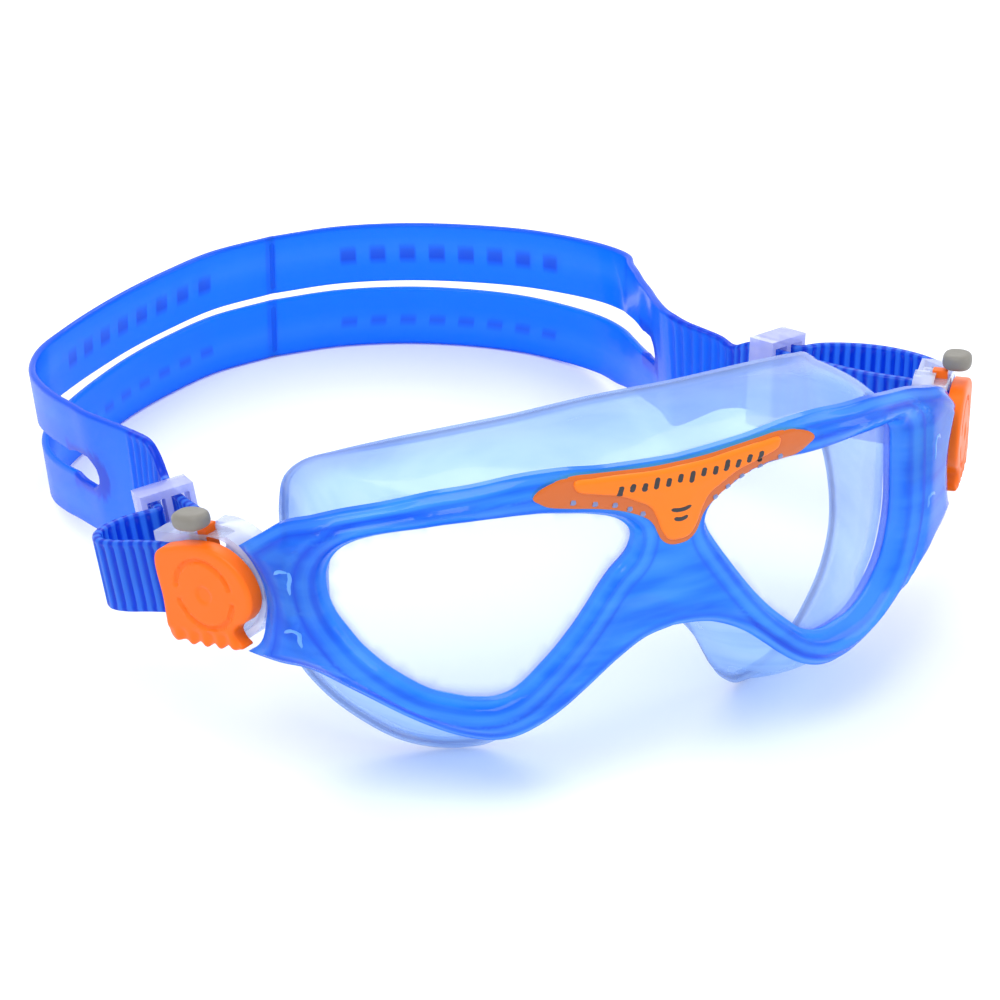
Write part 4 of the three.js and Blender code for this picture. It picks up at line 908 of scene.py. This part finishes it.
hc = cover_height(Vc)
rc = np.hypot(Vc[:, 0] - 0.6, Vc[:, 1] + 0.4)
for side, word in ((1, "left"), (-1, "right")):
    fr = buckle(side, np.stack([Vc[:, 0], -hc, Vc[:, 1]], 1))
    bk = buckle(side, np.stack([Vc[:, 0], np.full(len(Vc), 1.8), Vc[:, 1]], 1))
    o = solid(word + "_cover", Fc, fr, bk, M["orange"], angle=40)
    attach(o, word + "_buckle"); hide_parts(word + "_buckle_cover")
    # button: rounded pebble with a shallow dish
    V, F = [], []
    nt, npz = 40, 14
    for j in range(npz):
        v = j / (npz - 1)
        ang = -math.pi / 2 + math.pi * v
        zz = 1.6 * math.copysign(abs(math.sin(ang)) ** 0.75, math.sin(ang))
        rr = max(1e-3, abs(math.cos(ang))) ** 0.42
        for i in range(nt):
            a = 2 * math.pi * i / nt
            ca, sa = math.cos(a), math.sin(a)
            V.append([2.1 + (3.2 if side > 0 else 3.5) * rr * math.copysign(abs(ca) ** 0.8, ca), 1.2 + 2.7 * rr * math.copysign(abs(sa) ** 0.8, sa), 12.6 + zz - (0.22 * (1 - rr) if j == npz - 1 else 0)])
    for j in range(npz - 1):
        for i in range(nt):
            F.append((j * nt + i, j * nt + (i + 1) % nt, (j + 1) * nt + (i + 1) % nt, (j + 1) * nt + i))
    F += [tuple(range(nt - 1, -1, -1)), tuple(range((npz - 1) * nt, npz * nt))]
    o = obj_from(word + "_button_cap", buckle(side, V), F, M["grey"], angle=60, weld=1e-7)
    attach(o, word + "_button"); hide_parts(word + "_release_button")
    for node, mat, body, w in (("buckle_housing", "clear", "buckle", 0.35), ("strap_keeper", "keeper", "keeper", 0.55), ("temple_lug", "clear", None, 0.3), ("button_stem", "orange", "button", 0.2), ("ratchet_pawl", "nylon", "pawl", 0.12)):
        o = refined(word + "_" + node, M[mat], w)
        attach(o, "mask" if body is None else word + "_" + body)
        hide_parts(word + "_" + node)

for nm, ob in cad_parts.items():
    key = "steel" if any(k in nm for k in ("rivet", "spring", "axle")) else "nylon" if "roller" in nm else None
    if key:
        for i in range(len(ob.material_slots)):
            ob.material_slots[i].material = M[key]

# ------------------------------------------------------------------ stage, light, camera
k = Nodes("pale_floor")
nz = k.noise(6.0, 2.0)
c = k.mix(k.math("MULTIPLY", nz, 0.3), (0.93, 0.94, 0.965), (0.955, 0.96, 0.98))
p = k.add("ShaderNodeBsdfPrincipled", Base__Color=c, Roughness=0.7)
p.inputs["Specular IOR Level"].default_value = 0.15
floor_mat = k.end(p.outputs[0])
bpy.ops.mesh.primitive_plane_add(size=8, location=(0, 1.5, -0.0002))
fl = bpy.context.object
fl.name = "floor"
fl.data.materials.append(floor_mat)

w = bpy.data.worlds.new("studio")
bpy.context.scene.world = w
w.use_nodes = True
w.node_tree.nodes["Background"].inputs[0].default_value = (0.93, 0.96, 1.0, 1)
w.node_tree.nodes["Background"].inputs[1].default_value = 0.88


def area(name, loc, target, size, power, col=(1, 1, 1)):
    d = bpy.data.lights.new(name, "AREA")
    d.shape = "RECTANGLE"
    d.size, d.size_y = size
    d.energy = power
    d.color = col
    o = bpy.data.objects.new(name, d)
    bpy.context.scene.collection.objects.link(o)
    o.location = loc
    o.rotation_euler = (Vector(target) - Vector(loc)).to_track_quat("-Z", "Y").to_euler()
    return o


area("key", (-0.35, -0.25, 0.75), (0, 0, 0.02), (0.6, 0.45), 3.3)
area("back", (0.25, 0.7, 0.7), (0, 0, 0.03), (0.9, 0.5), 4.2, (0.96, 0.98, 1))
area("side", (0.75, -0.3, 0.45), (0, 0, 0.02), (0.5, 0.5), 1.9, (0.97, 0.98, 1))

cam = bpy.data.cameras.new("camera")
cam.sensor_width = 36
cam.lens = 151.2
cam.clip_start = 0.01
co = bpy.data.objects.new("camera", cam)
bpy.context.scene.collection.objects.link(co)
co.location = (-0.28939, -0.54876 - 0.09232, 0.34338 + 0.0475)
co.rotation_euler = (math.radians(90 - 28.4), 0, math.radians(-25))
bpy.context.scene.camera = co
bpy.context.scene.view_settings.view_transform = "Standard"
